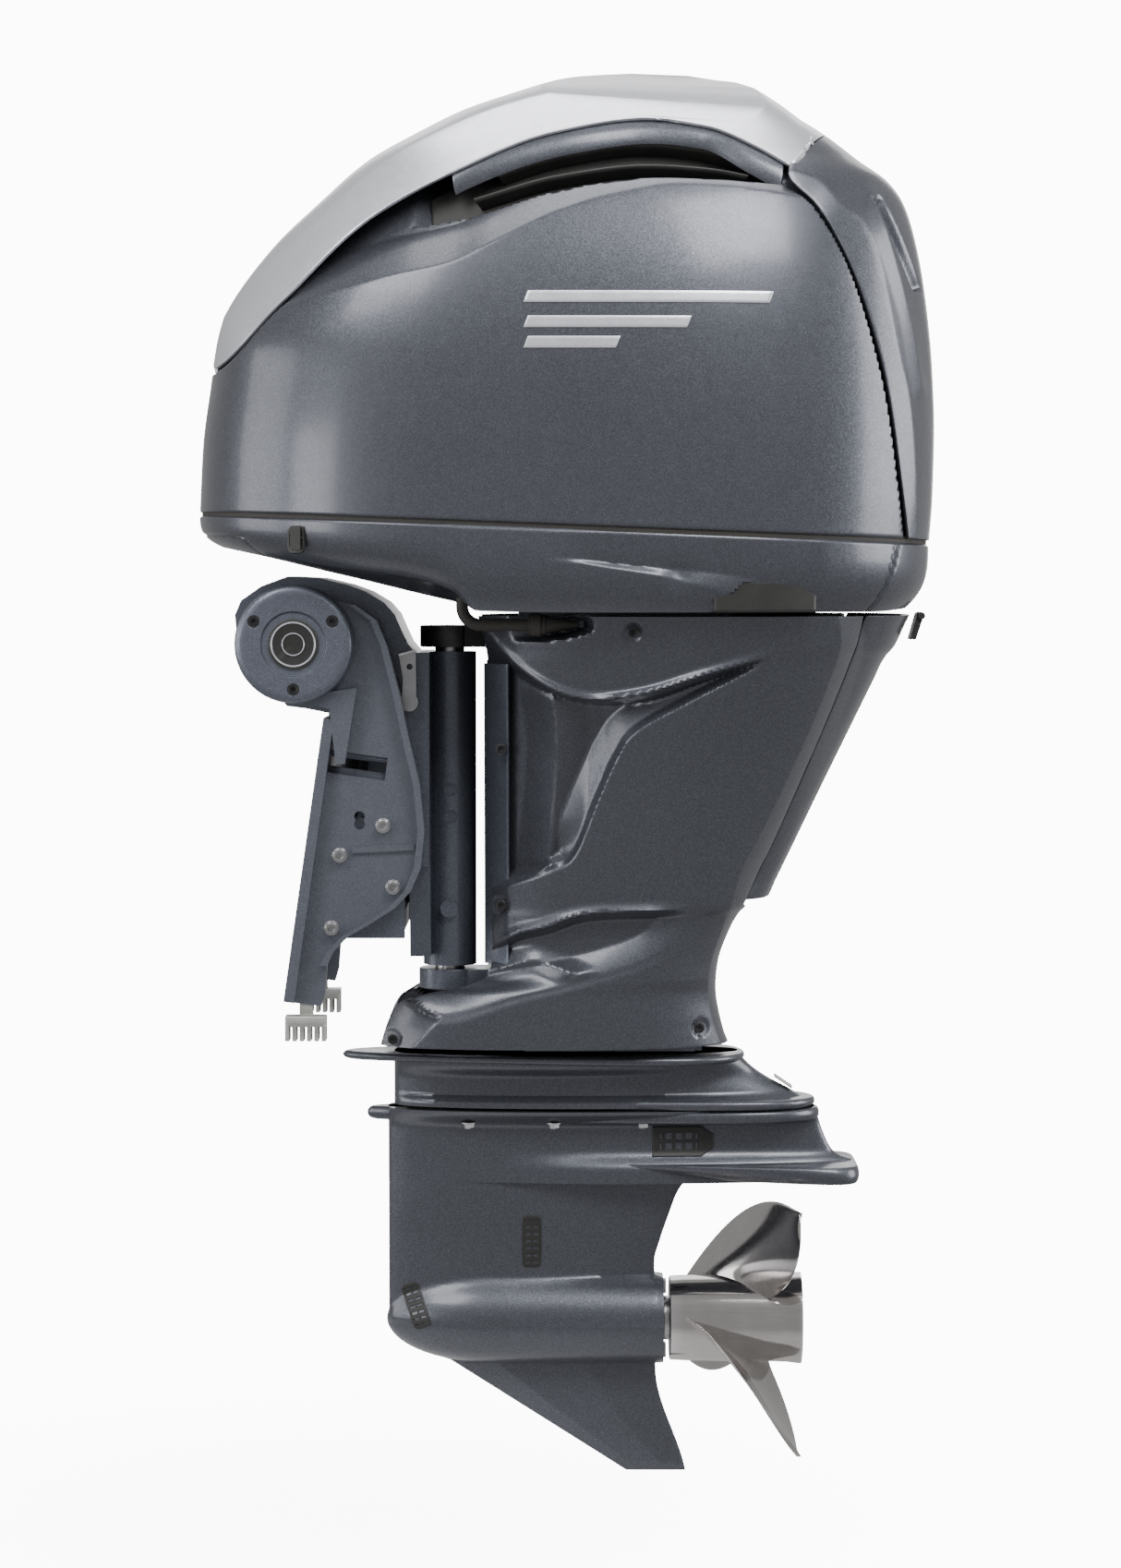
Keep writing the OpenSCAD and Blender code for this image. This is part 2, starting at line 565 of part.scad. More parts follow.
// ---- swivel bracket
swivel_line = [[-118, 100], [-121, 134], [-113, 153], [-86, 172], [-51, 185], [-11, 183],
    [27, 174], [52, 165], [77, 150], [91, 134], [99, 115], [108, swivel_top + 12],
    [118, swivel_top], [136, swivel_top], [136, -200], [112, -200], [104, -150], [88, -60],
    [66, 10], [30, 34], [-10, 45], [-60, 42], [-100, 66]];
swivel_hollow = [[-130, 60], [-100, 128], [-76, 156], [-48, 170], [-14, 168], [20, 160],
    [45, 151], [66, 137], [78, 122], [84, 100], [92, 60], [108, -60], [108, -400],
    [-130, -400]];
swivel_arm_in = 80;
module swivel_bracket() {
    color(paint) difference() {
        union() {
            both_sides() side_plate(swivel_line, swivel_arm_in, swivel_half_w);
            difference() {
                side_plate(swivel_line, -swivel_arm_in - 1, swivel_arm_in + 1);
                side_plate(swivel_hollow, -swivel_arm_in, swivel_arm_in);
            }
            translate([108, 0, 0]) rotate([90, 0, 90]) linear_extrude(28)
                polygon([[-swivel_half_w, swivel_top], [-swivel_half_w, -110], [-58, -325],
                    [58, -325], [swivel_half_w, -110], [swivel_half_w, swivel_top]]);
            translate([steer_x, 0, swivel_bottom]) cylinder(r = steer_tube_r,
                h = swivel_top - swivel_bottom);
            both_sides() y_rod(tilt_axis, 44, 40, swivel_half_w + 20);
            both_sides() y_rod(ram_head, 24, swivel_arm_in - 12, swivel_half_w);
            // ribs along the leading edge and the grease boss
            both_sides() side_plate([[96, 60], [112, 60], [120, -190], [108, -190]],
                swivel_half_w - 1, swivel_half_w + 6);
            both_sides() y_rod([steer_x, -262], 12, 20, steer_tube_r + 8);
        }
        y_rod(tilt_axis, tilt_tube_r + run_gap, -200, 200);
        y_rod(ram_head, ram_pin_r, -swivel_half_w + 12, swivel_half_w - 12);
        translate([steer_x, 0, swivel_bottom - 1]) cylinder(r = pivot_r + 4, h = 600);
        translate([steer_x, 0, swivel_bottom - 1]) cylinder(r = pivot_r + 8, h = 41);
        translate([steer_x, 0, swivel_top - 40]) cylinder(r = pivot_r + 8, h = 41);
        // oval recess in each side of the tube
        both_sides() for (dz = [-18, 18]) y_rod([steer_x + 2, -120 + dz], 9, steer_tube_r - 5, 60);
    }
}
module swivel_bushes() {
    color(dark) for (z = [swivel_bottom, swivel_top - 40]) translate([steer_x, 0, z])
        difference() {
            cylinder(r = pivot_r + 8, h = 40);
            translate([0, 0, -1]) cylinder(r = pivot_r + run_gap, h = 42);
        }
}
module ram_upper_pin() color(steel) y_rod(ram_head, ram_pin_r, -swivel_half_w + 12,
    swivel_half_w - 12);
lever_pivot = [110, 19];
lever_y = swivel_half_w + 16;
module tilt_support_lever() {
    color(steel) {
        difference() {
            union() {
                side_plate([[100, 12], [120, 12], [119, 86], [97, 80], [102, 50]],
                    -lever_y - 4, -lever_y);
                y_rod(lever_pivot, 12, -lever_y - 4, -swivel_half_w - 7);
            }
            y_rod([111, 66], 4, -lever_y - 5, -lever_y + 1);
        }
        side_plate([[97, 80], [119, 86], [119, 89], [97, 83]], -lever_y - 16, -lever_y);
    }
}

// ---- pivot shaft, steering arm and engine mounts
module pivot_shaft() {
    color(steel) translate([steer_x, 0, lower_mount_z - lower_mount_t]) difference() {
        cylinder(r = pivot_r, h = arm_z + arm_t - lower_mount_z + lower_mount_t);
        translate([0, 0, -1]) cylinder(r = pivot_r - 8, h = 700);
    }
}
module steering_arm() {
    color(dark) difference() {
        union() {
            translate([steer_x, 0, arm_z]) cylinder(r = 40, h = arm_t);
            box_at(steer_x, mount_x, -34, 34, arm_z, arm_z + arm_t);
            box_at(mount_x - 26, mount_x, -76, 76, arm_z, arm_z + arm_t);
        }
        translate([steer_x, 0, arm_z - 1]) cylinder(r = pivot_r, h = arm_t + 2);
    }
}
module lower_mount_bracket() {
    z0 = lower_mount_z - lower_mount_t;
    color(paint) difference() {
        union() {
            translate([steer_x, 0, z0]) cylinder(r = 42, h = lower_mount_t);
            box_at(steer_x, mount_x, -34, 34, z0, lower_mount_z);
            box_at(mount_x - 22, mount_x, -66, 66, z0, lower_mount_z);
        }
        translate([steer_x, 0, z0 - 1]) cylinder(r = pivot_r, h = lower_mount_t + 2);
    }
}
module mount_rubbers() {
    color(dark) for (m = [[52, arm_z + arm_t / 2], [46, lower_mount_z - lower_mount_t / 2]])
        both_sides() {
            x_rod(m[0], m[1], 13, mount_x, housing_x);
            x_rod(m[0], m[1], 18, mount_x + 6, housing_x - 5);
        }
}

// ---- mid section
function leaf(x0, x1, w, n) = [for (i = [0:n - 1]) let (t = 360 * i / n, c = -cos(t))
    [mix(x0, x1, (1 + c) / 2), w * sign(sin(t)) * pow(abs(sin(t)), 0.8) * (1 - 0.12 * c)]];
module leaf_plate(x0, x1, w, z0, z1, n = 28) translate([0, 0, z0]) linear_extrude(z1 - z0)
    polygon(leaf(x0, x1, w, n));
module driveshaft_housing() {
    color(paint) difference() {
        union() {
            translate([0, 0, housing_bottom]) linear_extrude(guide_z - housing_bottom)
                polygon([[housing_x, -62], [housing_x, 62], [housing_x + 60, 72],
                    [500, 60], [500, -60], [housing_x + 60, -72]]);
            box_at(housing_x - 8, 540, -95, 95, guide_z - 18, guide_z);
            box_at(housing_x - 16, 600, -112, 112, guide_z - 1, deck_z);
            box_at(housing_x, 490, -70, 70, housing_bottom, housing_bottom + 16);
        }
        translate([drive_x, 0, housing_bottom - 1])
            cylinder(r = 24, h = deck_z - housing_bottom + 2);
        box_at(drive_x + 34, 488, -50, 50, housing_bottom + 10, deck_z + 1);
        translate([housing_x + 66, 0, housing_bottom - 1]) cylinder(r = 9, h = 40);
    }
}
module extension_case() {
    z0 = parting_z;
    color(paint) difference() {
        union() {
            leaf_plate(14, 560, 112, splash_z + 2, splash_z + 10);
            leaf_plate(40, 552, 92, splash_z - 2, splash_z + 3);
            intersection() {
                leaf_plate(84, 690, 70, z0, splash_z + 14);
                side_plate([[60, z0], [655, z0], [616, z0 + 22], [597, z0 + 32], [571, z0 + 49],
                    [553, z0 + 68], [545, z0 + 80], [60, z0 + 80]], -200, 200);
            }
        }
        translate([drive_x, 0, z0 - 1]) cylinder(r = 46, h = 46);
        translate([drive_x, 0, z0 - 1]) cylinder(r = 24, h = 120);
        box_at(drive_x + 60, 480, -40, 40, z0 + 8, splash_z + 20);
        translate([housing_x - 60, 0, z0 - 1]) cylinder(r = 9, h = 120);
    }
}

// ---- gearcase
nose_x0 = 73;
function airfoil(x0, x1, w, n) = [for (i = [0:n - 1]) let (t = 360 * i / n, c = (1 - cos(t)) / 2)
    [mix(x0, x1, c), w * sign(sin(t)) * sqrt(abs(sin(t))) * sqrt(1 - c * c * 0.75)]];
carrier_len = 60;
inner_r = torpedo_r - 7;
module torpedo() {
    translate([0, 0, shaft_z]) rotate([0, 90, 0]) rotate_extrude() polygon(concat(
        [[0, nose_x0]],
        [for (i = [1:9]) let (a = 10 * i) [torpedo_r * sin(a), nose_x0 + 150 * (1 - cos(a))]],
        [[torpedo_r, torpedo_end - 20], [torpedo_r - 1, torpedo_end], [0, torpedo_end]]));
}
module gearcase() {
    z0 = parting_z;
    color(paint) difference() {
        union() {
            leaf_plate(47, 660, 78, z0 - 6, z0 - 0.05);
            intersection() {
                translate([0, 0, shaft_z]) linear_extrude(z0 - shaft_z - 4)
                    polygon(airfoil(76, 690, 42, 32));
                side_plate([[60, shaft_z], [440, shaft_z], [440, shaft_z + 80],
                    [446, plate_z - 85], [469, plate_z - 21], [484, plate_z], [700, plate_z],
                    [694, plate_z + 27], [679, plate_z + 30], [664, plate_z + 68],
                    [655, z0 - 4], [60, z0 - 4]], -60, 60);
            }
            leaf_plate(190, 700, 62, plate_z + 22, plate_z + 30);
            hull() {
                translate([430, 0, plate_z]) cylinder(r = 60, h = 12, $fn = 32);
                translate([610, 0, plate_z]) cylinder(r = 100, h = 12, $fn = 32);
            }
            torpedo();
            intersection() {
                side_plate([[88, shaft_z - 30], [95, shaft_z - 44], [393, skeg_z + 4],
                    [428, skeg_z], [481, skeg_z + 4], [436, shaft_z - 60], [436, shaft_z - 30]],
                    -30, 30);
                translate([0, 0, skeg_z]) linear_extrude(skeg_below_shaft)
                    polygon([[80, 0], [180, 8], [400, 8], [484, 1.5], [484, -1.5], [400, -8],
                        [180, -8]]);
            }
        }
        x_rod(0, shaft_z, inner_r, drive_x - 75, torpedo_end + 1);
        x_rod(0, shaft_z, 26, drive_x - 110, torpedo_end);
        translate([drive_x, 0, shaft_z]) cylinder(r = 26, h = 400);
        translate([housing_x - 60, 0, shaft_z + 10]) cylinder(r = 9, h = 400);
        for (p = water_inlets) screen_at(p, 40, 1);
        both_sides() box_at(434, 517, 20, 200, plate_z + 34, plate_z + 72);
    }
}
// Water inlets: [x, z above the shaft's axis, half length, half height, lean]
water_inlets = [[271, 111, 13, 36, 0], [112, 23, 12, 31, -20]];
module screen_at(p, t, grow) both_sides() translate([p[0], -t, shaft_z + p[1]])
    rotate([0, p[4], 0]) translate([-p[2] - grow, -60, -p[3] - grow])
        cube([2 * (p[2] + grow), 60 + 18, 2 * (p[3] + grow)]);
module water_inlet_screens() {
    color(dark) for (p = water_inlets) intersection() {
        both_sides() translate([p[0], -22, shaft_z + p[1]]) rotate([0, p[4], 0]) difference() {
            translate([-p[2], -14, -p[3]]) cube([2 * p[2], 14, 2 * p[3]]);
            for (i = [-3:3]) translate([-p[2] + 3, -20, i * p[3] / 4 - 2])
                cube([2 * p[2] - 6, 30, 4]);
        }
    }
}
module exhaust_relief_grilles() {
    color(dark) both_sides() difference() {
        translate([0, 36, 0]) rotate([90, 0, 0]) linear_extrude(15)
            polygon([[436, plate_z + 36], [436, plate_z + 70], [500, plate_z + 70],
                [515, plate_z + 54], [500, plate_z + 36]]);
        for (i = [0:3], k = [0, 1]) box_at(442 + i * 15, 453 + i * 15, 0, 60,
            plate_z + 42 + k * 14, plate_z + 50 + k * 14);
    }
}
module gearcase_bolts() {
    color(steel) both_sides() for (x = [150, 250, 360, 470]) translate([x, 55, parting_z - 14])
        cylinder(r = 7, h = 8 - 0.1, $fn = 6);
}
module trim_anode() {
    color(zinc) translate([612, 0, parting_z + 28]) rotate([0, 34, 0])
        translate([-14, -13, 0]) cube([28, 26, 3]);
}
module bearing_carrier() {
    color(steel) difference() {
        union() {
            x_rod(0, shaft_z, inner_r, torpedo_end - carrier_len, torpedo_end - 2);
            x_rod(0, shaft_z, 36, torpedo_end - carrier_len - 20, torpedo_end);
            for (s = [-1, 1]) translate([torpedo_end - 2, -9, shaft_z + s * 44 - 9])
                cube([6, 18, 18]);
        }
        x_rod(0, shaft_z, shaft_r + run_gap, 300, 500);
        for (a = [0:60:300]) rotate_about_shaft(a) x_rod(44, shaft_z, 6, 300, torpedo_end + 1);
    }
}
module rotate_about_shaft(a) translate([0, 0, shaft_z]) rotate([a, 0, 0])
    translate([0, 0, -shaft_z]) children();
module shaft_bearings() {
    color(steel) {
        difference() {
            x_rod(0, shaft_z, 26, drive_x - 108, drive_x - 84);
            x_rod(0, shaft_z, shaft_r + run_gap, 0, 400);
        }
        translate([drive_x, 0, 0]) difference() {
            translate([0, 0, shaft_z + gear_r + 22]) cylinder(r = 26, h = 24);
            translate([0, 0, shaft_z]) cylinder(r = drive_r + run_gap, h = 200);
        }
    }
}
module shift_rod() color(steel) translate([housing_x - 60, 0, shaft_z + 60])
    cylinder(r = 5, h = -shaft_z - 60 + splash_z + 60);
module water_pump() {
    color(dark) translate([drive_x, 0, parting_z]) difference() {
        union() {
            cylinder(r = 40, h = 10);
            cylinder(r = 33, h = 38);
        }
        translate([0, 0, -1]) cylinder(r = drive_r + run_gap, h = 60);
    }
}

// ---- fresh water flush fitting under the pan
hose_y = -196;
hose_z = 122;
module flush_hose() {
    color(dark) {
        translate([206, hose_y, hose_z + 24]) rotate([90, 0, 0]) rotate([0, 0, 180])
            rotate_extrude(angle = 90) translate([24, 0]) circle(r = 8);
        x_rod(hose_y, hose_z, 8, 206, 268);
        translate([182, hose_y, hose_z + 24]) cylinder(r = 8, h = 12);
        // screwed coupling and its tapered boot
        x_rod(hose_y, hose_z, 13, 268, 290);
        x_rod(hose_y, hose_z, 15, 272, 284);
        translate([290, hose_y, hose_z]) rotate([0, 90, 0]) cylinder(r1 = 12, r2 = 4, h = 44);
    }
}

// ---- engine
bank_angle = 30;
module bank(s) translate([drive_x, 0, 0]) rotate([0, 0, s * bank_angle]) children();
module engine_block() {
    color(zinc) difference() {
        union() {
            box_at(drive_x - 90, drive_x + 110, -100, 100, deck_z + 0.1, crank_top);
            for (s = [-1, 1]) bank(s) box_at(60, 190, -58, 58, deck_z + 20, crank_top - 10);
        }
        translate([drive_x, 0, deck_z - 1]) cylinder(r = 62, h = crank_top - deck_z - 20);
        translate([drive_x, 0, 0]) cylinder(r = 26, h = 800);
        for (s = [-1, 1], i = [0:2]) bank(s) translate([70, 0, 270 + i * 155 + s * 20])
            rotate([0, 90, 0]) cylinder(r = 47, h = 130);
    }
}
module cylinder_heads() {
    color(dark) for (s = [-1, 1]) bank(s) {
        box_at(190.1, 240, -62, 62, deck_z + 20, crank_top - 10);
        box_at(240, 258, -50, 50, deck_z + 32, crank_top - 22);
        for (i = [0:2]) translate([258, 0, 270 + i * 155 + s * 20]) rotate([0, 90, 0])
            cylinder(r = 16, h = 12);
    }
}
module intake_manifold() {
    color(dark) {
        box_at(600, 672, -80, 80, 250, 560);
        for (s = [-1, 1], i = [0:2]) bank(s) translate([258.1, -s * 30, 300 + i * 115])
            rotate([0, 90, 0]) cylinder(r = 15, h = 90);
    }
}
module starter_motor() {
    color(dark) {
        translate([drive_x - 132, 70, 500]) cylinder(r = 38, h = 150);
        translate([drive_x - 100, 50, 540]) cube([10, 30, 60]);
        translate([drive_x - 132, 70, 650]) cylinder(r = 14, h = 26);
    }
}
module crankshaft() {
    color(steel) translate([drive_x, 0, 0]) {
        difference() {
            translate([0, 0, deck_z + 4]) cylinder(r = 26 - run_gap, h = crank_top + 40 - deck_z);
            translate([0, 0, deck_z]) cylinder(r = drive_r, h = 24);
        }
        for (i = [0:5]) translate([0, 0, deck_z + 50 + i * 80]) cylinder(r = 54, h = 18);
    }
}
module flywheel() {
    color(steel) translate([drive_x, 0, crank_top + 6]) difference() {
        union() {
            cylinder(r = 60, h = 30);
            cylinder(r = 118, h = 12);
            difference() {
                cylinder(r = 118, h = 26);
                translate([0, 0, -1]) cylinder(r = 104, h = 40);
            }
        }
        translate([0, 0, -1]) cylinder(r = 26 - run_gap, h = 50);
    }
}
module driveshaft() {
    color(steel) translate([drive_x, 0, shaft_z + gear_r + 12])
        cylinder(r = drive_r, h = deck_z + 20 - shaft_z - gear_r - 12);
}

// ---- bevel gears: a toothed disc that tapers to the point where the axes cross
tooth_up = 3.4;
tooth_down = 4.6;
tooth_face = 0.32;
tooth_share = 0.42;
function gear_line(teeth, r, reach) =
    let (cone = atan(r / reach), tip = reach * tan(cone + tooth_up),
         root = reach * tan(cone - tooth_down), pitch = 360 / teeth)
    [for (i = [0:teeth - 1], k = [[root, -0.58], [tip, -0.27], [tip, 0.27], [root, 0.58]])
        let (a = pitch * (i + k[1] * tooth_share)) k[0] * [cos(a), sin(a)]];
// Large end at z = 0, teeth towards the crossing point at z = reach
module bevel_gear(teeth, r, reach) {
    linear_extrude(height = reach * tooth_face, scale = 1 - tooth_face)
        polygon(gear_line(teeth, r, reach));
}
module driven_gear(hub_l) {
    cone = atan(gear_r / pinion_r);
    back = pinion_r * tan(cone - tooth_down);
    rotate([0, 90, 0]) rotate([0, 0, 180 - 180 / gear_teeth]) {
        bevel_gear(gear_teeth, gear_r, pinion_r);
        translate([0, 0, -12]) cylinder(r = back - 1, h = 12.5);
        translate([0, 0, -hub_l]) cylinder(r = 24, h = hub_l);
    }
}
module pinion_gear() {
    color(steel) translate([drive_x, 0, shaft_z + gear_r]) difference() {
        union() {
            mirror([0, 0, 1]) bevel_gear(pinion_teeth, pinion_r, gear_r);
            cylinder(r = gear_r * tan(atan(pinion_r / gear_r) - tooth_down), h = 16);
        }
        translate([0, 0, 12]) cylinder(r = drive_r, h = 20);
    }
}
module forward_gear() {
    color(steel) difference() {
        translate([drive_x - pinion_r, 0, shaft_z]) driven_gear(40);
        x_rod(0, shaft_z, shaft_r, 0, 600);
    }
}
module reverse_gear() {
    color(steel) difference() {
        translate([drive_x + pinion_r, 0, shaft_z]) mirror([1, 0, 0]) driven_gear(34);
        x_rod(0, shaft_z, shaft_r + run_gap, 0, 600);
    }
}

// ---- propeller
nut_x = hub_x + 96;
module propeller_shaft() {
    color(steel) {
        x_rod(0, shaft_z, shaft_r, drive_x - 108, nut_x + 22);
        x_rod(0, shaft_z, shaft_r + 6, torpedo_end - carrier_len - 22.5,
            torpedo_end - carrier_len - 20.5);
    }
}
module thrust_washer() {
    color(steel) difference() {
        x_rod(0, shaft_z, 30, torpedo_end + 1, hub_x - 0.1);
        x_rod(0, shaft_z, shaft_r, 400, 500);
    }
}
module propeller_nut() {
    color(steel) difference() {
        union() {
            x_rod(0, shaft_z, 24, nut_x, nut_x + 4);
            translate([nut_x + 4, 0, shaft_z]) rotate([0, 90, 0]) cylinder(r = 21, h = 15, $fn = 6);
        }
        x_rod(0, shaft_z, shaft_r, nut_x - 1, nut_x + 40);
    }
}
blade_rows = 8;
blade_cols = 8;
// Point of a blade: s from root to tip, c from leading to trailing edge, side -1 or 1
function blade_point(s, c, side) =
    let (r = mix(hub_r - 5, prop_d / 2, s), span = 95 * pow(max(0, 1 - pow(s, 1.7)), 0.8),
         a = 5.5 + 28 * s + (c - 0.5) * span,
         x = hub_x + 76 + 94 * pow(s, 1.15) + prop_pitch / 360 * (c - 0.5) * span,
         t = side * (1.2 + 5 * (1 - s)) * sqrt(max(0.02, 4 * c * (1 - c))))
    [x + t, -r * sin(a), r * cos(a)];
module blade() {
    grid = function (side) [for (i = [0:blade_rows])
        [for (j = [0:blade_cols]) blade_point(0.99 * i / blade_rows, j / blade_cols, side)]];
    skin(grid(1), grid(-1), false);
}
module propeller() {
    color(steel) {
        difference() {
            union() {
                difference() {
                    x_rod(0, shaft_z, hub_r, hub_x, hub_x + hub_len);
                    x_rod(0, shaft_z, hub_r - 6, hub_x - 1, hub_x + hub_len + 1);
                }
                x_rod(0, shaft_z, 27, hub_x, nut_x);
                for (a = [0:120:240]) rotate_about_shaft(a + 60)
                    box_at(hub_x + 4, nut_x - 4, -3, 3, shaft_z + 20, shaft_z + hub_r - 3);
            }
            x_rod(0, shaft_z, shaft_r, hub_x - 1, hub_x + hub_len + 1);
        }
        for (i = [0:blades - 1]) rotate_about_shaft(i * 360 / blades)
            translate([0, 0, shaft_z]) blade();
    }
}

// ---- levers and switches
latch_pivot = [796, 132];
module cowl_latch_lever() {
    color(dark) {
        side_plate([[791, 136], [800, 134], [789, 100], [781, 100]], -22, 22);
        y_rod(latch_pivot, 5, -26, 26);
    }
}
switch_x = -28;
switch_z = 234;
module tilt_switch_rocker() {
    p = cowl_point(switch_x, 0, 0);
    color(dark) translate([switch_x, p.y - 1.5, switch_z]) rotate([0, 0, -14]) {
        side_plate([[-7, -15], [7, -15], [7, 15], [-7, 15]], -7, 0);
        x_rod(-2, 0, 1.6, -8.5, 8.5);
    }
}

clamp_bracket_port();
clamp_bracket_starboard();
tilt_tube();
tilt_cap_port();
tilt_cap_starboard();
cap_medallions();
cap_screws();
bracket_bolts();
bracket_anode();
trim_tilt_housing();
trim_tilt_motor();
ram_lower_pin();
swivel_bracket();
swivel_bushes();
ram_upper_pin();
tilt_support_lever();
tilt_cylinder();
tilt_rod();
trim_rods();
pivot_shaft();
steering_arm();
lower_mount_bracket();
mount_rubbers();
driveshaft_housing();
apron_port();
apron_starboard();
apron_rear_cover();
apron_screws();
extension_case();
gearcase();
water_inlet_screens();
exhaust_relief_grilles();
gearcase_bolts();
trim_anode();
bearing_carrier();
shaft_bearings();
shift_rod();
water_pump();
lower_cowl();
flush_hose();
engine_block();
cylinder_heads();
intake_manifold();
starter_motor();
crankshaft();
flywheel();
driveshaft();
pinion_gear();
propeller();
propeller_shaft();
forward_gear();
thrust_washer();
propeller_nut();
reverse_gear();
top_cowl();
cowl_visor();
cowl_rear_panel();
cowl_badges();
cowl_latch_lever();
tilt_switch_rocker();
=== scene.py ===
import math

import bmesh
import bpy
import numpy as np
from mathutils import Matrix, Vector


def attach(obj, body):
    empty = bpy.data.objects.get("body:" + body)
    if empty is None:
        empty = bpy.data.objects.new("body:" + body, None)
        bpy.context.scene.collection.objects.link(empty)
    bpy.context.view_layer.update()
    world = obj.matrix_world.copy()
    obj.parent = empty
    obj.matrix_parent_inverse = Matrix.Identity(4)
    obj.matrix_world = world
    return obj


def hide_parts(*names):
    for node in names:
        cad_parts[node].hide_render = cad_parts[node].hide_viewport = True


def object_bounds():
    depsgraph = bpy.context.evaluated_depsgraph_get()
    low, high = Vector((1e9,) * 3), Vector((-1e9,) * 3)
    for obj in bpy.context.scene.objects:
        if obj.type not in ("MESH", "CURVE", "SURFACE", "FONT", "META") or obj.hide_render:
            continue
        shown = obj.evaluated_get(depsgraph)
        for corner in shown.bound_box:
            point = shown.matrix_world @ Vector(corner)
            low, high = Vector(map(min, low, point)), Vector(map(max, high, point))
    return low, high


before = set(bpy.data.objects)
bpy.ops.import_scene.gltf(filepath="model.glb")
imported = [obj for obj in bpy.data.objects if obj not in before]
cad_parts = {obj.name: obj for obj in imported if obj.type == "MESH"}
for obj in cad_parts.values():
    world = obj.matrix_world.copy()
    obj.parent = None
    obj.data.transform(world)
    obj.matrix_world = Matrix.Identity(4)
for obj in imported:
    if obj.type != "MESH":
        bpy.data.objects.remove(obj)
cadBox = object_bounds()
mm = 0.001
print("frame loaded")


# ---- small tools for shapes, all in millimetres

def smooth01(t):
    t = np.clip(t, 0, 1)
    return t * t * (3 - 2 * t)


def mix(a, b, t):
    return a + (b - a) * t


# a line through the points that never overshoots them, read at x
def lineAt(points, x):
    px, py = np.array(points, float).T
    run = np.diff(px)
    slope = np.diff(py) / run
    tangent = np.concatenate([slope[:1], np.zeros(len(slope) - 1), slope[-1:]])
    for i in range(1, len(slope)):
        if slope[i - 1] * slope[i] > 0:
            w1, w2 = 2 * run[i] + run[i - 1], run[i] + 2 * run[i - 1]
            tangent[i] = (w1 + w2) / (w1 / slope[i - 1] + w2 / slope[i])
    x = np.clip(x, px[0], px[-1])
    k = np.clip(np.searchsorted(px, x) - 1, 0, len(run) - 1)
    t = (x - px[k]) / run[k]
    h = run[k]
    return ((1 + 2 * t) * (1 - t) ** 2 * py[k] + t * (1 - t) ** 2 * h * tangent[k]
            + t * t * (3 - 2 * t) * py[k + 1] + t * t * (t - 1) * h * tangent[k + 1])


# points close together along a soft curve through the given ones
def softCurve(points, steps=7):
    p = np.array(points, float)
    p = np.vstack([2 * p[0] - p[1], p, 2 * p[-1] - p[-2]])
    out = []
    for i in range(1, len(p) - 2):
        for t in np.arange(steps) / steps:
            a, b, c, d = p[i - 1], p[i], p[i + 1], p[i + 2]
            out.append(0.5 * (2 * b + (c - a) * t + (2 * a - 5 * b + 4 * c - d) * t ** 2
                              + (3 * b - a - 3 * c + d) * t ** 3))
    return np.array(out + [p[-2]])


# distance from a curve drawn in x and z, positive on the left of its direction
def sideOf(points, x, z):
    line = softCurve(points)
    best = np.full(x.shape, 1e9)
    sign = np.ones(x.shape)
    for a, b in zip(line[:-1], line[1:]):
        along = b - a
        size = max(along @ along, 1e-9)
        t = np.clip(((x - a[0]) * along[0] + (z - a[1]) * along[1]) / size, 0, 1)
        dx, dz = x - a[0] - t * along[0], z - a[1] - t * along[1]
        away = np.hypot(dx, dz)
        nearer = away < best
        best = np.where(nearer, away, best)
        sign = np.where(nearer, np.sign(along[0] * dz - along[1] * dx), sign)
    return best * np.where(sign == 0, 1, sign)


# a raised line that is sharp on top and fades out on both sides
def ridge(distance, height, reach):
    return height * np.clip(1 - np.abs(distance) / reach, 0, 1) ** 1.3


# a column of values repeated over cols, and a row of values repeated over rows
def down(values, cols):
    return np.asarray(values)[:, None] * np.ones((1, cols))


def across(values, rows):
    return np.ones((rows, 1)) * np.asarray(values)[None, :]


def gridFaces(rows, cols, wrap=False, base=0):
    last = cols if wrap else cols - 1
    return [(base + i * cols + j, base + i * cols + (j + 1) % cols,
             base + (i + 1) * cols + (j + 1) % cols, base + (i + 1) * cols + j)
            for i in range(rows - 1) for j in range(last)]


# a mesh from millimetre points, its faces turned away from a point inside it
def addMesh(name, verts, faces, inside=None, weld=0.02, sharp=40):
    mesh = bpy.data.meshes.new(name)
    mesh.from_pydata((np.asarray(verts, float) * mm).tolist(), [], [tuple(map(int, f)) for f in faces])
    work = bmesh.new()
    work.from_mesh(mesh)
    bmesh.ops.remove_doubles(work, verts=work.verts, dist=weld * mm)
    bmesh.ops.dissolve_degenerate(work, edges=work.edges, dist=weld * mm)
    bmesh.ops.recalc_face_normals(work, faces=work.faces)
    if inside is not None:
        middle = Vector(inside) * mm
        lean = sum(f.normal.dot(f.calc_center_median() - middle) * f.calc_area() for f in work.faces)
        if lean < 0:
            bmesh.ops.reverse_faces(work, faces=work.faces)
    work.to_mesh(mesh)
    work.free()
    for face in mesh.polygons:
        face.use_smooth = True
    mesh.set_sharp_from_angle(angle=math.radians(sharp))
    piece = bpy.data.objects.new(name, mesh)
    bpy.context.scene.collection.objects.link(piece)
    return piece


# gives a new piece its body, its finish and the CAD nodes that it stands for
def fit(piece, body, slotName, *nodes):
    piece.data.materials.append(materials[slotName])
    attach(piece, body)
    if nodes:
        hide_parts(*nodes)
    return piece


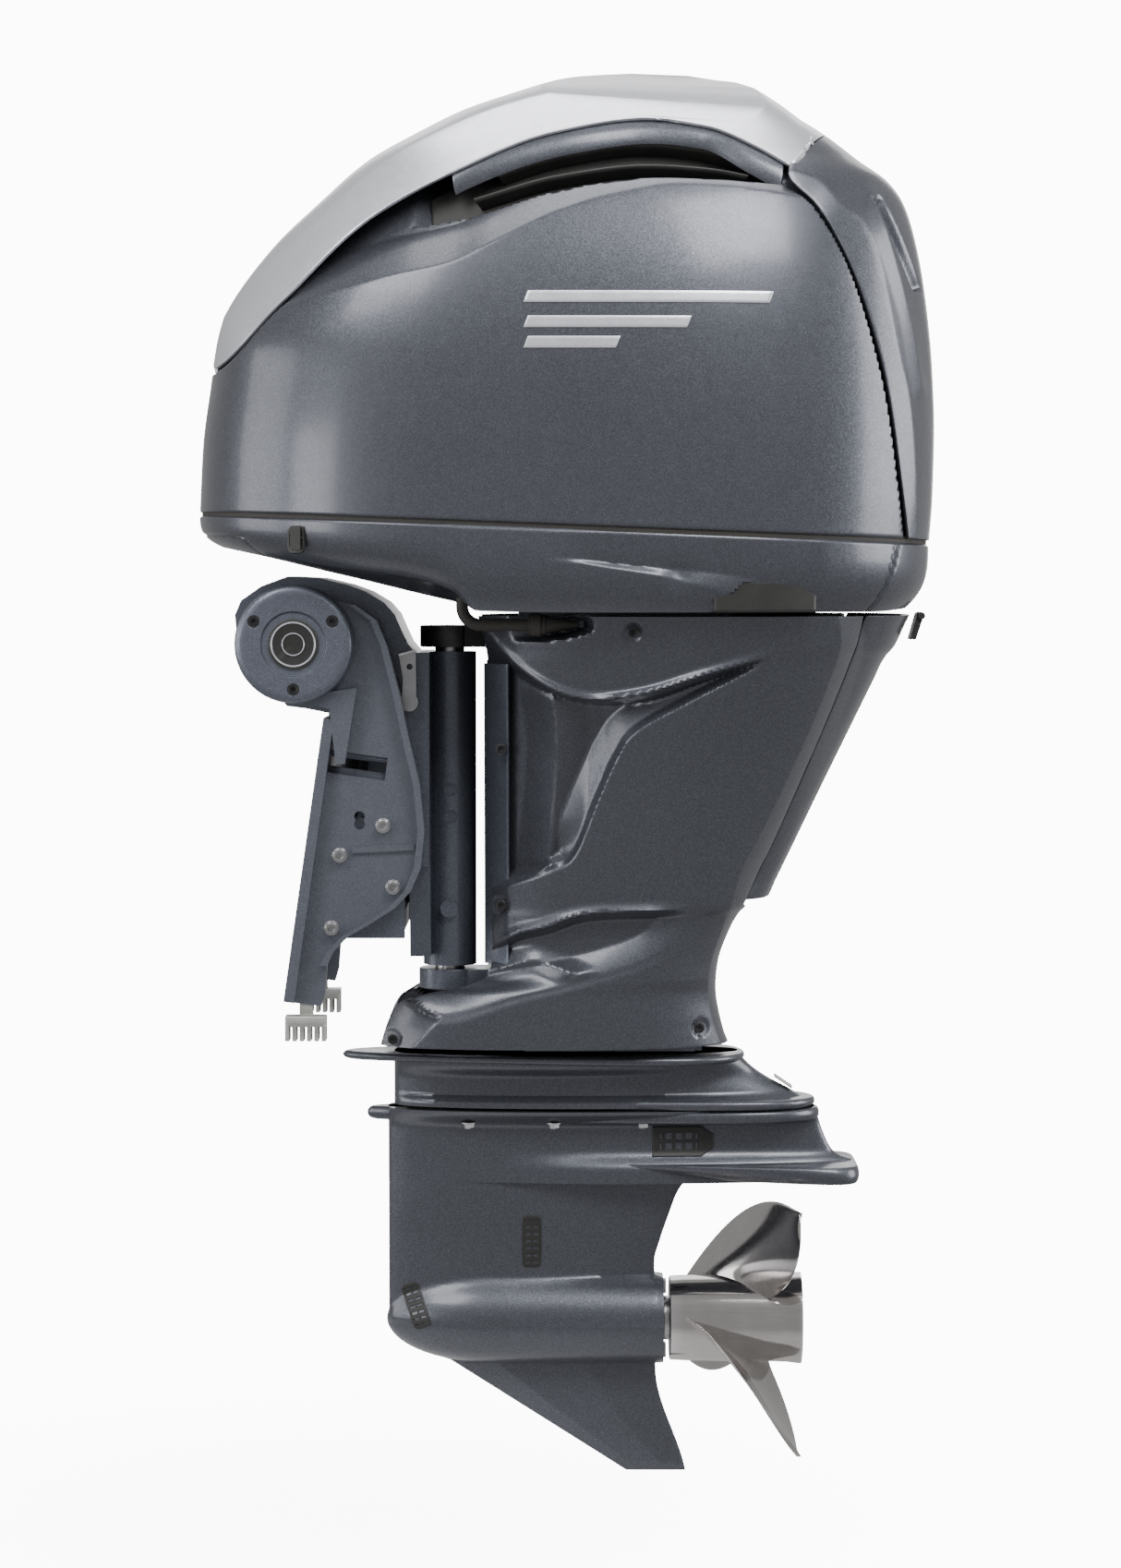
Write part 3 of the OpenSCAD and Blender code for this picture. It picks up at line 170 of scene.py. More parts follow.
def thicken(piece, wall, rim=0.8):
    shell = piece.modifiers.new("wall", "SOLIDIFY")
    shell.thickness = wall * mm
    shell.offset = -1
    shell.use_even_offset = False
    if rim:
        edge = piece.modifiers.new("edge", "BEVEL")
        edge.width = rim * mm
        edge.segments = 2
        edge.limit_method = "ANGLE"
        edge.angle_limit = math.radians(60)
    return piece


def mirrored(verts):
    return np.asarray(verts) * np.array([1, -1, 1])


# port and starboard halves in one set of points and faces
def bothSides(verts, faces):
    n = len(verts)
    return np.vstack([verts, mirrored(verts)]), list(faces) + [tuple(k + n for k in f) for f in faces]


# a grid of points and its mirror image as one piece
def addPair(name, points, inside=None, weld=0.02, sharp=40):
    faces = gridFaces(*points.shape[:2])
    return addMesh(name, *bothSides(points.reshape(-1, 3), faces), inside, weld, sharp)


# a turned shape: profile of [along, radius], round an axis through a centre
def turned(profile, centre, axis, turns=72):
    axis = Vector(axis).normalized()
    side = axis.orthogonal().normalized()
    third = axis.cross(side)
    rings = []
    for along, radius in profile:
        for k in range(turns):
            a = 2 * math.pi * k / turns
            out = side * math.cos(a) + third * math.sin(a)
            spot = Vector(centre) + axis * along + out * max(radius, 0.01)
            rings.append(tuple(spot))
    faces = gridFaces(len(profile), turns, True)
    faces.append(tuple(range(turns)))
    faces.append(tuple((len(profile) - 1) * turns + k for k in range(turns)))
    return np.array(rings), faces


def joined(parts):
    verts, faces, base = [], [], 0
    for v, f in parts:
        verts.append(np.asarray(v, float))
        faces += [tuple(k + base for k in q) for q in f]
        base += len(v)
    return np.vstack(verts), faces


# ---- shader groups

def newGroup(name, ins, outs):
    group = bpy.data.node_groups.new(name, "ShaderNodeTree")
    for label, kind, value in ins:
        socket = group.interface.new_socket(label, in_out="INPUT", socket_type=kind)
        socket.default_value = value
    for label, kind in outs:
        group.interface.new_socket(label, in_out="OUTPUT", socket_type=kind)
    return group, group.nodes.new("NodeGroupInput"), group.nodes.new("NodeGroupOutput")


def addNode(tree, kind, links=(), **settings):
    node = tree.nodes.new(kind)
    for key, value in settings.items():
        setattr(node, key, value)
    for socket, source in dict(links).items():
        if isinstance(source, bpy.types.NodeSocket):
            tree.links.new(source, node.inputs[socket])
        else:
            node.inputs[socket].default_value = source
    return node


def math2(tree, operation, a, b=0.5, clamp=False):
    return addNode(tree, "ShaderNodeMath", {0: a, 1: b}, operation=operation, use_clamp=clamp).outputs[0]


def mixColour(tree, factor, a, b):
    node = addNode(tree, "ShaderNodeMix", {0: factor}, data_type="RGBA")
    for socket, source in ((6, a), (7, b)):
        if isinstance(source, bpy.types.NodeSocket):
            tree.links.new(source, node.inputs[socket])
        else:
            node.inputs[socket].default_value = source
    return node.outputs[2]


# metal flakes in lacquer: a colour that sparkles from cell to cell, and their tilt
def flakeGroup():
    group, given, out = newGroup("metalFlakes", [
        ("Dark", "NodeSocketColor", (0.1, 0.1, 0.1, 1)),
        ("Light", "NodeSocketColor", (0.3, 0.3, 0.3, 1)),
        ("Scale", "NodeSocketFloat", 600.0), ("Sparkle", "NodeSocketFloat", 0.5),
        ("Tilt", "NodeSocketFloat", 0.1)],
        [("Color", "NodeSocketColor"), ("Normal", "NodeSocketVector")])
    place = addNode(group, "ShaderNodeTexCoord")
    cells = addNode(group, "ShaderNodeTexVoronoi",
                    {"Vector": place.outputs["Object"], "Scale": given.outputs["Scale"]})
    bright = addNode(group, "ShaderNodeSeparateColor", {0: cells.outputs["Color"]})
    power = math2(group, "POWER", bright.outputs[0], 2.2)
    amount = math2(group, "MULTIPLY", power, given.outputs["Sparkle"], True)
    cloud = addNode(group, "ShaderNodeTexNoise", {"Vector": place.outputs["Object"], "Scale": 3.0})
    drift = math2(group, "MULTIPLY", cloud.outputs[0], 0.12)
    total = math2(group, "ADD", amount, drift, True)
    colour = mixColour(group, total, given.outputs["Dark"], given.outputs["Light"])
    group.links.new(colour, out.inputs["Color"])
    centred = addNode(group, "ShaderNodeVectorMath", {0: cells.outputs["Color"], 1: (0.5, 0.5, 0.5)},
                      operation="SUBTRACT")
    scaled = addNode(group, "ShaderNodeVectorMath", {0: centred.outputs[0]}, operation="SCALE")
    group.links.new(given.outputs["Tilt"], scaled.inputs["Scale"])
    surface = addNode(group, "ShaderNodeNewGeometry")
    added = addNode(group, "ShaderNodeVectorMath", {0: surface.outputs["Normal"], 1: scaled.outputs[0]},
                    operation="ADD")
    unit = addNode(group, "ShaderNodeVectorMath", {0: added.outputs[0]}, operation="NORMALIZE")
    group.links.new(unit.outputs[0], out.inputs["Normal"])
    return group


# rubbed edges: a mask that is white where the surface turns sharply outwards
def wearGroup():
    group, given, out = newGroup("edgeWear", [
        ("Start", "NodeSocketFloat", 0.52), ("Width", "NodeSocketFloat", 0.05),
        ("Breakup", "NodeSocketFloat", 40.0)], [("Mask", "NodeSocketFloat")])
    place = addNode(group, "ShaderNodeTexCoord")
    surface = addNode(group, "ShaderNodeNewGeometry")
    patches = addNode(group, "ShaderNodeTexNoise",
                      {"Vector": place.outputs["Object"], "Scale": given.outputs["Breakup"], "Detail": 6.0})
    above = math2(group, "SUBTRACT", surface.outputs["Pointiness"], given.outputs["Start"])
    part = math2(group, "DIVIDE", above, given.outputs["Width"], True)
    broken = math2(group, "MULTIPLY", part, patches.outputs[0], True)
    group.links.new(broken, out.inputs["Mask"])
    return group


# thin dust and water marks: more on what faces up, in drifting patches
def dustGroup():
    group, given, out = newGroup("dust", [("Amount", "NodeSocketFloat", 0.2)], [("Mask", "NodeSocketFloat")])
    place = addNode(group, "ShaderNodeTexCoord")
    surface = addNode(group, "ShaderNodeNewGeometry")
    height = addNode(group, "ShaderNodeSeparateXYZ", {0: surface.outputs["Normal"]})
    up = math2(group, "MULTIPLY_ADD", height.outputs[2], 0.4, True)
    patches = addNode(group, "ShaderNodeTexNoise",
                      {"Vector": place.outputs["Object"], "Scale": 9.0, "Detail": 8.0, "Roughness": 0.65})
    both = math2(group, "MULTIPLY", up, patches.outputs[0])
    group.links.new(math2(group, "MULTIPLY", both, given.outputs["Amount"], True), out.inputs["Mask"])
    return group


# fine height for castings, moulded grain and sprayed lacquer
def grainGroup():
    group, given, out = newGroup("grain", [
        ("Scale", "NodeSocketFloat", 400.0), ("Peel", "NodeSocketFloat", 60.0)],
        [("Height", "NodeSocketFloat"), ("Mask", "NodeSocketFloat")])
    place = addNode(group, "ShaderNodeTexCoord")
    fine = addNode(group, "ShaderNodeTexNoise",
                   {"Vector": place.outputs["Object"], "Scale": given.outputs["Scale"], "Detail": 4.0})
    broad = addNode(group, "ShaderNodeTexNoise",
                    {"Vector": place.outputs["Object"], "Scale": given.outputs["Peel"], "Detail": 3.0})
    group.links.new(math2(group, "ADD", fine.outputs[0], broad.outputs[0]), out.inputs["Height"])
    group.links.new(broad.outputs[0], out.inputs["Mask"])
    return group


# lathe or brush marks drawn out along one direction
def brushedGroup():
    group, given, out = newGroup("brushed", [("Stretch", "NodeSocketVector", (4.0, 300.0, 300.0))],
                                 [("Height", "NodeSocketFloat")])
    place = addNode(group, "ShaderNodeTexCoord")
    long = addNode(group, "ShaderNodeVectorMath",
                   {0: place.outputs["Object"], 1: given.outputs["Stretch"]}, operation="MULTIPLY")
    marks = addNode(group, "ShaderNodeTexNoise", {"Vector": long.outputs[0], "Scale": 3.0, "Detail": 5.0})
    group.links.new(marks.outputs[0], out.inputs["Height"])
    return group


groups = {"flakes": flakeGroup(), "wear": wearGroup(), "dust": dustGroup(), "grain": grainGroup(),
          "brushed": brushedGroup()}


def useGroup(tree, name, **values):
    node = tree.nodes.new("ShaderNodeGroup")
    node.node_tree = groups[name]
    for key, value in values.items():
        node.inputs[key].default_value = value
    return node


def newMaterial(name):
    material = bpy.data.materials.new(name)
    material.use_nodes = True
    return material, material.node_tree, material.node_tree.nodes["Principled BSDF"]


def srgb(r, g, b):
    linear = (c / 255 / 12.92 if c <= 10 else ((c / 255 + 0.055) / 1.055) ** 2.4 for c in (r, g, b))
    return tuple(linear) + (1.0,)


def bump(tree, height, depth, strength=1.0, normal=None):
    node = addNode(tree, "ShaderNodeBump", {"Height": height, "Strength": strength, "Distance": depth})
    if normal is not None:
        tree.links.new(normal, node.inputs["Normal"])
    return node.outputs[0]


# roughness that a mask spreads around a middle value
def roughAround(tree, mask, middle, spread):
    return addNode(tree, "ShaderNodeMath", {0: mask, 1: spread, 2: middle - spread / 2},
                   operation="MULTIPLY_ADD").outputs[0]


# lacquer with metal flakes: base coat, clear coat, orange peel, worn edges and dust
def flakePaint(name, look):
    material, tree, shader = newMaterial(name)
    flakes = useGroup(tree, "flakes", Dark=look["dark"], Light=look["light"], Scale=look["flakeScale"],
                      Sparkle=look["sparkle"], Tilt=look["tilt"])
    wear = useGroup(tree, "wear", Start=look["wearStart"])
    dust = useGroup(tree, "dust", Amount=look["dust"])
    grain = useGroup(tree, "grain", Scale=look["grainScale"])
    rubbed = mixColour(tree, math2(tree, "MULTIPLY", wear.outputs["Mask"], look["wear"], True),
                       flakes.outputs["Color"], look["worn"])
    dusty = mixColour(tree, dust.outputs["Mask"], rubbed, look["dustColour"])
    tree.links.new(dusty, shader.inputs["Base Color"])
    rough = roughAround(tree, grain.outputs["Mask"], look["roughness"], 0.12)
    tree.links.new(math2(tree, "ADD", rough, math2(tree, "MULTIPLY", dust.outputs["Mask"], 0.3), True),
                   shader.inputs["Roughness"])
    tree.links.new(bump(tree, grain.outputs["Height"], look["peel"], 0.6, flakes.outputs["Normal"]),
                   shader.inputs["Normal"])
    shader.inputs["Metallic"].default_value = look["metallic"]
    shader.inputs["Coat Weight"].default_value = look["coat"]
    shader.inputs["Coat Roughness"].default_value = look["coatRoughness"]
    return material


# moulded plastic or rubber with a fine grain
def moulded(name, look):
    material, tree, shader = newMaterial(name)
    grain = useGroup(tree, "grain", Scale=look["grainScale"], Peel=look["patch"])
    dust = useGroup(tree, "dust", Amount=look["dust"])
    wear = useGroup(tree, "wear")
    base = mixColour(tree, grain.outputs["Mask"], look["dark"], look["light"])
    worn = mixColour(tree, math2(tree, "MULTIPLY", wear.outputs["Mask"], 0.5), base, look["worn"])
    dusty = mixColour(tree, dust.outputs["Mask"], worn, srgb(150, 150, 148))
    tree.links.new(dusty, shader.inputs["Base Color"])
    rough = roughAround(tree, grain.outputs["Mask"], look["roughness"], 0.16)
    tree.links.new(rough, shader.inputs["Roughness"])
    tree.links.new(bump(tree, grain.outputs["Height"], look["depth"]), shader.inputs["Normal"])
    return material


# bare metal: turned, brushed, cast or dull
def bareMetal(name, look):
    material, tree, shader = newMaterial(name)
    marks = useGroup(tree, "brushed", Stretch=look["stretch"])
    grain = useGroup(tree, "grain", Scale=look["grainScale"], Peel=look["patch"])
    wear = useGroup(tree, "wear")
    tone = mixColour(tree, math2(tree, "MULTIPLY", grain.outputs["Mask"], marks.outputs["Height"]),
                     look["dark"], look["light"])
    tree.links.new(mixColour(tree, wear.outputs["Mask"], tone, look["worn"]), shader.inputs["Base Color"])
    rough = roughAround(tree, marks.outputs["Height"], look["roughness"], look["roughSpread"])
    tree.links.new(rough, shader.inputs["Roughness"])
    fine = bump(tree, marks.outputs["Height"], look["markDepth"])
    normal = bump(tree, grain.outputs["Height"], look["grainDepth"], 1.0, fine)
    tree.links.new(normal, shader.inputs["Normal"])
    shader.inputs["Metallic"].default_value = look["metallic"]
    return material


paintLook = {"dark": srgb(60, 62, 69), "light": srgb(132, 136, 147), "flakeScale": 1300.0, "sparkle": 0.34,
             "tilt": 0.08, "wearStart": 0.56, "wear": 0.22, "worn": srgb(112, 114, 120), "dust": 0.05,
             "dustColour": srgb(150, 150, 150), "grainScale": 900.0, "roughness": 0.36, "peel": 0.00012,
             "metallic": 0.62, "coat": 0.5, "coatRoughness": 0.16}
silverLook = dict(paintLook, dark=srgb(216, 218, 226), light=srgb(252, 252, 254), sparkle=0.5, tilt=0.06,
                  roughness=0.30, metallic=0.75, worn=srgb(225, 226, 230))
# the bracket paint is the blue-grey paint made lighter as painted light, because the lamps leave the brackets
# darker; its coarser grain, heavier wear and weaker clear coat are the brackets' own
litBracketLook = dict(paintLook, dark=srgb(82, 86, 97), light=srgb(146, 152, 166), flakeScale=1100.0, wear=0.4,
                   grainScale=420.0, peel=0.0003, roughness=0.4, coat=0.35, dust=0.06)
plasticLook = {"dark": srgb(17, 17, 17), "light": srgb(36, 35, 33), "worn": srgb(70, 69, 66), "dust": 0.05,
               "grainScale": 700.0, "patch": 25.0, "roughness": 0.5, "depth": 0.0002}
rubberLook = dict(plasticLook, dark=srgb(34, 33, 31), light=srgb(54, 52, 48), roughness=0.62, depth=0.0003)
steelLook = {"dark": srgb(150, 150, 152), "light": srgb(212, 212, 214), "worn": srgb(235, 235, 236),
             "stretch": (300.0, 8.0, 300.0), "grainScale": 500.0, "patch": 30.0, "roughness": 0.3,
             "roughSpread": 0.14, "markDepth": 0.00004, "grainDepth": 0.00003, "metallic": 1.0}
polishedLook = dict(steelLook, dark=srgb(188, 184, 182), light=srgb(226, 222, 220), stretch=(3.0, 90.0, 90.0),
                    roughness=0.10, roughSpread=0.06, markDepth=0.00002, grainDepth=0.00001)
zincLook = dict(steelLook, dark=srgb(150, 150, 146), light=srgb(206, 205, 198), roughness=0.55,
                grainScale=260.0, grainDepth=0.0004, roughSpread=0.2, metallic=0.85)
castLook = dict(zincLook, dark=srgb(120, 121, 122), light=srgb(172, 172, 172), grainScale=320.0, metallic=0.9)
blackSteelLook = dict(steelLook, dark=srgb(34, 34, 36), light=srgb(70, 70, 72), worn=srgb(140, 140, 140),
                      roughness=0.42, grainDepth=0.0002, metallic=0.7)
gearLook = dict(steelLook, dark=srgb(118, 118, 120), light=srgb(188, 186, 182), stretch=(120.0, 120.0, 20.0))
bronzeLook = dict(steelLook, dark=srgb(120, 88, 48), light=srgb(196, 152, 92), worn=srgb(222, 184, 122))

materials = {
    "blue_grey_paint": flakePaint("blueGreyPaint", paintLook),
    "cowl_moulding": flakePaint("cowlPaint", dict(paintLook, roughness=0.34)),
    "silver_paint": flakePaint("silverPaint", silverLook),
    "bracket_paint": flakePaint("litBracketPaint", litBracketLook),
    "black_plastic": moulded("blackPlastic", plasticLook),
    "black_rubber": moulded("blackRubber", rubberLook),
    "stainless": bareMetal("satinSteel", steelLook),
    "polished_stainless": bareMetal("polishedSteel", polishedLook),
    "zinc": bareMetal("zincAnode", zincLook),
    "cast_aluminium": bareMetal("castAluminium", castLook),
    "black_steel": bareMetal("blackSteel", blackSteelLook),
    "gear_steel": bareMetal("gearSteel", gearLook),
    "bronze_bush": bareMetal("bronzeBush", bronzeLook),
}
print("materials made")


# ---- the cowl's surface: level slices between a nose line and a tail line

cowl = {
    "noseX": -173, "length": 983, "width": 634, "height": 617, "seamZ": 268, "seamFall": 0.039,
    "planPower": 2.8,
    "noseLine": [[0, 0], [0.15, 0.005], [0.28, 0.016], [0.35, 0.022], [0.46, 0.053], [0.58, 0.104],
                 [0.68, 0.167], [0.77, 0.23], [0.83, 0.293], [0.885, 0.356], [0.925, 0.42], [0.96, 0.48],
                 [0.985, 0.545], [1, 0.62]],
    "tailLine": [[0, 0.993], [0.1, 0.998], [0.24, 1], [0.37, 0.997], [0.54, 0.986], [0.68, 0.968],
                 [0.73, 0.956], [0.77, 0.937], [0.81, 0.9], [0.87, 0.848], [0.915, 0.798], [0.955, 0.748],
                 [0.985, 0.697], [1, 0.64]],
    # forward edge of the rear panel: length share at height share
    "panelLine": [[0, 0.947], [0.12, 0.937], [0.3, 0.919], [0.45, 0.894], [0.58, 0.864], [0.69, 0.821],
                  [0.75, 0.784], [0.8, 0.792]],
    # lower edge of the visor in x and z
    "visorEdge": [(-168, 455), (-144, 459), (-57, 533), (71, 650), (177, 707), (300, 757), (423, 777),
                  (498, 767), (568, 737), (606, 714)],
    "shoulder": [(-57, 529), (98, 569), (167, 584), (220, 609), (301, 649), (382, 675), (463, 688),
                 (520, 686), (577, 679), (640, 668)],
    "intakeSill": [(-140, 440), (0, 570), (89, 637), (203, 661), (301, 684), (422, 697), (491, 696),
                   (620, 690)],
    "visorCrease": [(-130, 525), (-113, 549), (-31, 613), (77, 713), (197, 776), (341, 818), (468, 833),
                    (600, 822)],
    "rearCrease": [(600, 705), (642, 691), (669, 660), (695, 640), (713, 603), (730, 528), (745, 463),
                   (758, 414), (768, 329), (771, 234)],
    "rearCreaseTwo": [(714, 678), (746, 579), (764, 511), (778, 430)],
    "rearSlot": [(722, 672), (748, 622), (776, 565)],
}


def seamZ(x):
    return cowl["seamZ"] - cowl["seamFall"] * (x - cowl["noseX"])


def noseX(h):
    return cowl["noseX"] + cowl["length"] * lineAt(cowl["noseLine"], h)


def tailX(h):
    return cowl["noseX"] + cowl["length"] * lineAt(cowl["tailLine"], h)


def halfWidth(h):
    return cowl["width"] / 2 * np.sqrt(np.maximum(0, 1 - h ** 3.2))


# point at an angle round a level, from the nose (0) to the tail (pi), port side; depth moves it in
def cowlPoint(angle, h, depth=0.0):
    angle, h = np.broadcast_arrays(np.asarray(angle, float), np.asarray(h, float))
    middle, reach = (noseX(h) + tailX(h)) / 2, (tailX(h) - noseX(h)) / 2
    power = 2 / cowl["planPower"]
    c, s = np.cos(angle), np.sin(angle)
    x = middle - np.sign(c) * np.abs(c) ** power * np.maximum(reach - depth, 0.5)
    y = -np.sign(s) * np.abs(s) ** power * np.maximum(halfWidth(h) - depth, 0.3)
    return np.stack([x, y, seamZ(x) + h * (cowl["height"] - depth)], -1)


def angleAt(x, h):
    middle, reach = (noseX(h) + tailX(h)) / 2, (tailX(h) - noseX(h)) / 2
    c = np.clip(-(x - middle) / reach, -1, 1)
    return np.arccos(np.sign(c) * np.abs(c) ** (cowl["planPower"] / 2))


def heightShare(x, z):
    return np.clip((np.asarray(z, float) - seamZ(np.asarray(x, float))) / cowl["height"], 0, 0.999)


def panelX(h):
    return cowl["noseX"] + cowl["length"] * lineAt(cowl["panelLine"], h)


bodyLook = {"ledgeLean": 0.34, "intakeDepth": 52, "sunk": 9, "rows": 190, "cols": 560}


# how far the main moulding lies inside the outer surface
def bodyDepth(x, z, h):
    over = z - lineAt(cowl["shoulder"], x)
    ledge = bodyLook["ledgeLean"] * np.maximum(0, over) * smooth01((x + 90) / 60)
    ledge = np.minimum(ledge, 24)
    sill = z - lineAt(cowl["intakeSill"], x)
    ends = smooth01((x - 60) / 90) * smooth01((604 - x) / 14)
    intake = bodyLook["intakeDepth"] * smooth01(sill / 9) * ends
    edge = z - lineAt(cowl["visorEdge"], x)
    hidden = 7 * smooth01((edge + 7) / 6) * smooth01((620 - x) / 10)
    behind = bodyLook["sunk"] * smooth01((x - panelX(h) + 1) / 3)
    foot = 2.5 * smooth01((0.006 - h) / 0.006)
    return np.maximum.reduce([ledge + foot, intake, hidden, behind])


def makeCowlBody():
    rows, cols = bodyLook["rows"], bodyLook["cols"]
    h = down(np.linspace(0.004, 0.93, rows), cols)
    angle = across(2 * math.pi * np.arange(cols) / cols, rows)
    flat = cowlPoint(angle, h)
    points = cowlPoint(angle, h, bodyDepth(flat[..., 0], flat[..., 2], h))
    body = addMesh("top_cowl_shell", points.reshape(-1, 3), gridFaces(rows, cols, True), (300, 0, 450))
    thicken(body, 4, 0)
    return fit(body, "cowl", "cowl_moulding", "top_cowl")


# ---- the visor: rows run from its edge up to the spine, then along a narrow tongue
visorLook = {"rows": 150, "cols": 64, "creaseHeight": 6.0, "creaseReach": 46, "tongueHalf": 24,
             "tongueEnd": 0.765, "rearCorner": 0.862, "rearFrom": 0.72,
             "tongueFrom": 0.82, "topAt": 0.62}
visorRear = [(606, 714), (626, 736), (647, 757), (664, 770)]


def tongueAngle(h):
    share = np.clip(visorLook["tongueHalf"] / np.maximum(halfWidth(h), 1), 0, 1)
    return math.pi - np.arcsin(share ** (cowl["planPower"] / 2))


def visorGrid():
    n, m = visorLook["rows"], visorLook["cols"]
    rearFrom, tongueFrom, topAt = visorLook["rearFrom"], visorLook["tongueFrom"], visorLook["topAt"]
    angles, heights = [], []
    for k in range(n + 1):
        t = k / n
        if t < rearFrom:
            x = mix(-166, 606, (t / rearFrom) ** 0.92)
            z = lineAt(cowl["visorEdge"], x)
            h = float(heightShare(x, z))
            edge = float(angleAt(x, h))
        elif t < tongueFrom:
            x, z = softCurve(visorRear)[int(round((t - rearFrom) / 0.1 * 21))]
            h = float(heightShare(x, z))
            edge = min(float(angleAt(x, h)), float(tongueAngle(h)))
        else:
            h = mix(visorLook["rearCorner"], visorLook["tongueEnd"], (t - tongueFrom) / 0.18)
            edge = float(tongueAngle(h))
        if t < topAt:
            spineH = mix(0.31, 0.994, math.sin(math.pi / 2 * t / topAt))
            spine = 0.0
        else:
            u = (t - topAt) / 0.38
            spineH = mix(0.994, visorLook["tongueEnd"], u ** 1.6)
            spine = math.pi
        v = 1 - (1 - np.arange(m + 1) / m) ** 1.5
        angles.append(mix(edge, spine, v))
        heights.append(mix(h, spineH, v))
    return np.array(angles), np.array(heights)


def makeVisor():
    angle, h = visorGrid()
    flat = cowlPoint(angle, h)
    away = sideOf(cowl["visorCrease"], flat[..., 0], flat[..., 2])
    depth = -ridge(away, visorLook["creaseHeight"], visorLook["creaseReach"])
    fade = smooth01((np.abs(flat[..., 1]) - 4) / 30)
    points = cowlPoint(angle, h, depth * fade)
    visor = addPair("visor_shell", points, (300, 0, 450), 0.6, 50)
    thicken(visor, 4)
    return fit(visor, "cowl", "silver_paint", "cowl_visor")


# a strip on the cowl's surface between two lines drawn in x and z
def surfaceStrip(name, low, high, x0, x1, depth, rows=8, cols=160):
    x = across(np.linspace(x0, x1, cols), rows)
    share = np.linspace(0, 1, rows)[:, None]
    z = mix(lineAt(low, x), lineAt(high, x), share)
    h = heightShare(x, z)
    deep = depth(share, x) * np.ones(x.shape)
    points = cowlPoint(angleAt(x, h), h, deep)
    return addPair(name, points, (300, 0, 300))


def makeIntake():
    lipLow = [(150, 672), (177, 689), (324, 740), (429, 754), (498, 747), (557, 715), (600, 690)]
    lipHigh = [(x, z + 3) for x, z in cowl["visorEdge"]]
    lip = surfaceStrip("intake_lip", lipLow, lipHigh, 168, 600, lambda s, x: 4 + 10 * (1 - s) ** 2)
    thicken(lip, 3)
    fit(lip, "cowl", "cowl_moulding")
    sill = [(x, z + 2) for x, z in cowl["intakeSill"]]
    roof = [(x, z + 16) for x, z in cowl["visorEdge"]]
    liner = surfaceStrip("intake_liner", sill, roof, 120, 596, lambda s, x: 40 - 8 * s, 20)
    thicken(liner, 2, 0)
    fit(liner, "cowl", "black_plastic")
    for k, share in enumerate((0.3, 0.62)):
        low = [(x, mix(lineAt(sill, x), lineAt(roof, x), share)) for x in range(130, 597, 20)]
        high = [(x, z + 3) for x, z in low]
        blade = surfaceStrip(f"intake_louvre_{k + 1}", low, high, 190 + 30 * k, 560,
                             lambda s, x: 16 + 22 * s, 4)
        thicken(blade, 2, 0)
        fit(blade, "cowl", "black_plastic")


def makeRearPanel():
    rows, cols = 200, 70
    h = np.linspace(0.005, 0.861, rows)
    left = np.where(h < 0.772, panelX(h) + 3.2,
                    lineAt([(heightShare(x, z), x + 3.2) for x, z in visorRear], h))
    tongue = tongueAngle(h) - 0.006
    middle = np.where(h < visorLook["tongueEnd"] - 0.006, math.pi, tongue)
    start = np.minimum(angleAt(left, h), middle - 0.0005)
    share = 1 - (1 - np.linspace(0, 1, cols)) ** 1.4
    angle = start[:, None] + (middle - start)[:, None] * share[None, :]
    h = down(h, cols)
    flat = cowlPoint(angle, h)
    x, z = flat[..., 0], flat[..., 2]
    depth = -ridge(sideOf(cowl["rearCrease"], x, z), 5, 38)
    depth = depth - ridge(sideOf(cowl["rearCreaseTwo"], x, z), 3, 18)
    fade = smooth01((np.abs(flat[..., 1]) - 8) / 40)
    slot = 9 * smooth01((9 - np.abs(sideOf(cowl["rearSlot"], x, z))) / 7)
    points = cowlPoint(angle, h, (depth + slot) * fade)
    panel = addPair("rear_panel_shell", points, (600, 0, 450), 0.4, 50)
    thicken(panel, 4)
    return fit(panel, "cowl", "cowl_moulding", "cowl_rear_panel")


# raised plain bars with slanted ends where a name would be
badgeLook = {"bars": [(263, 575, 547), (263, 470, 515), (263, 380, 489)], "height": 15,
             "slant": 6, "rise": 1.4}


def makeBadges():
    parts = []
    for x0, x1, z in badgeLook["bars"]:
        along = np.linspace(0, 1, 60)[None, :]
        up = np.linspace(0, 1, 5)[:, None]
        x = mix(x0, x1, along) + badgeLook["slant"] * up
        zz = z - badgeLook["height"] * (1 - up) + 0 * along
        h = heightShare(x, zz)
        outer = cowlPoint(angleAt(x, h), h, -badgeLook["rise"])
        parts.append((outer.reshape(-1, 3), gridFaces(5, 60)))
    verts, faces = bothSides(*joined(parts))
    badge = addMesh("side_stripes", verts, faces, (300, 0, 480))
    thicken(badge, 2.2, 0.5)
    return fit(badge, "cowl", "silver_paint", "cowl_badges")


makeCowlBody()
makeVisor()
makeIntake()
makeRearPanel()
makeBadges()
print("cowl made")


# ---- the pan below the seam
pan = {
    "lower": [[-173, 224], [-100, 212], [-9, 198], [90, 186], [160, 168], [196, 141], [349, 139],
              [745, 139], [812, 144]],
    "hole": (190, 640, 150), "holeHigh": 168, "holeLow": 142, "tuck": 30, "wall": 6,
    "spearTop": [(290, 214), (374, 202), (478, 193), (542, 186), (586, 173), (618, 160), (657, 139)],
    "spearLow": [(333, 203), (450, 183), (478, 176), (534, 163), (560, 150)],
    "notch": [(516, 138), (542, 169), (553, 177), (570, 176), (601, 167), (613, 153), (642, 152), (646, 138)],
    "frontCover": [(-172, 240), (-109, 237), (-104, 231), (-99, 210)],
    "pocket": (462, 184, 17, 5), "rearGroove": [(753, 246), (741, 190), (733, 139)],
    "rows": 46, "cols": 520,
}


def panSide(angle, z, depth):
    level = cowlPoint(angle, 0.0, depth)
    return np.stack([level[..., 0], level[..., 1], z], -1)


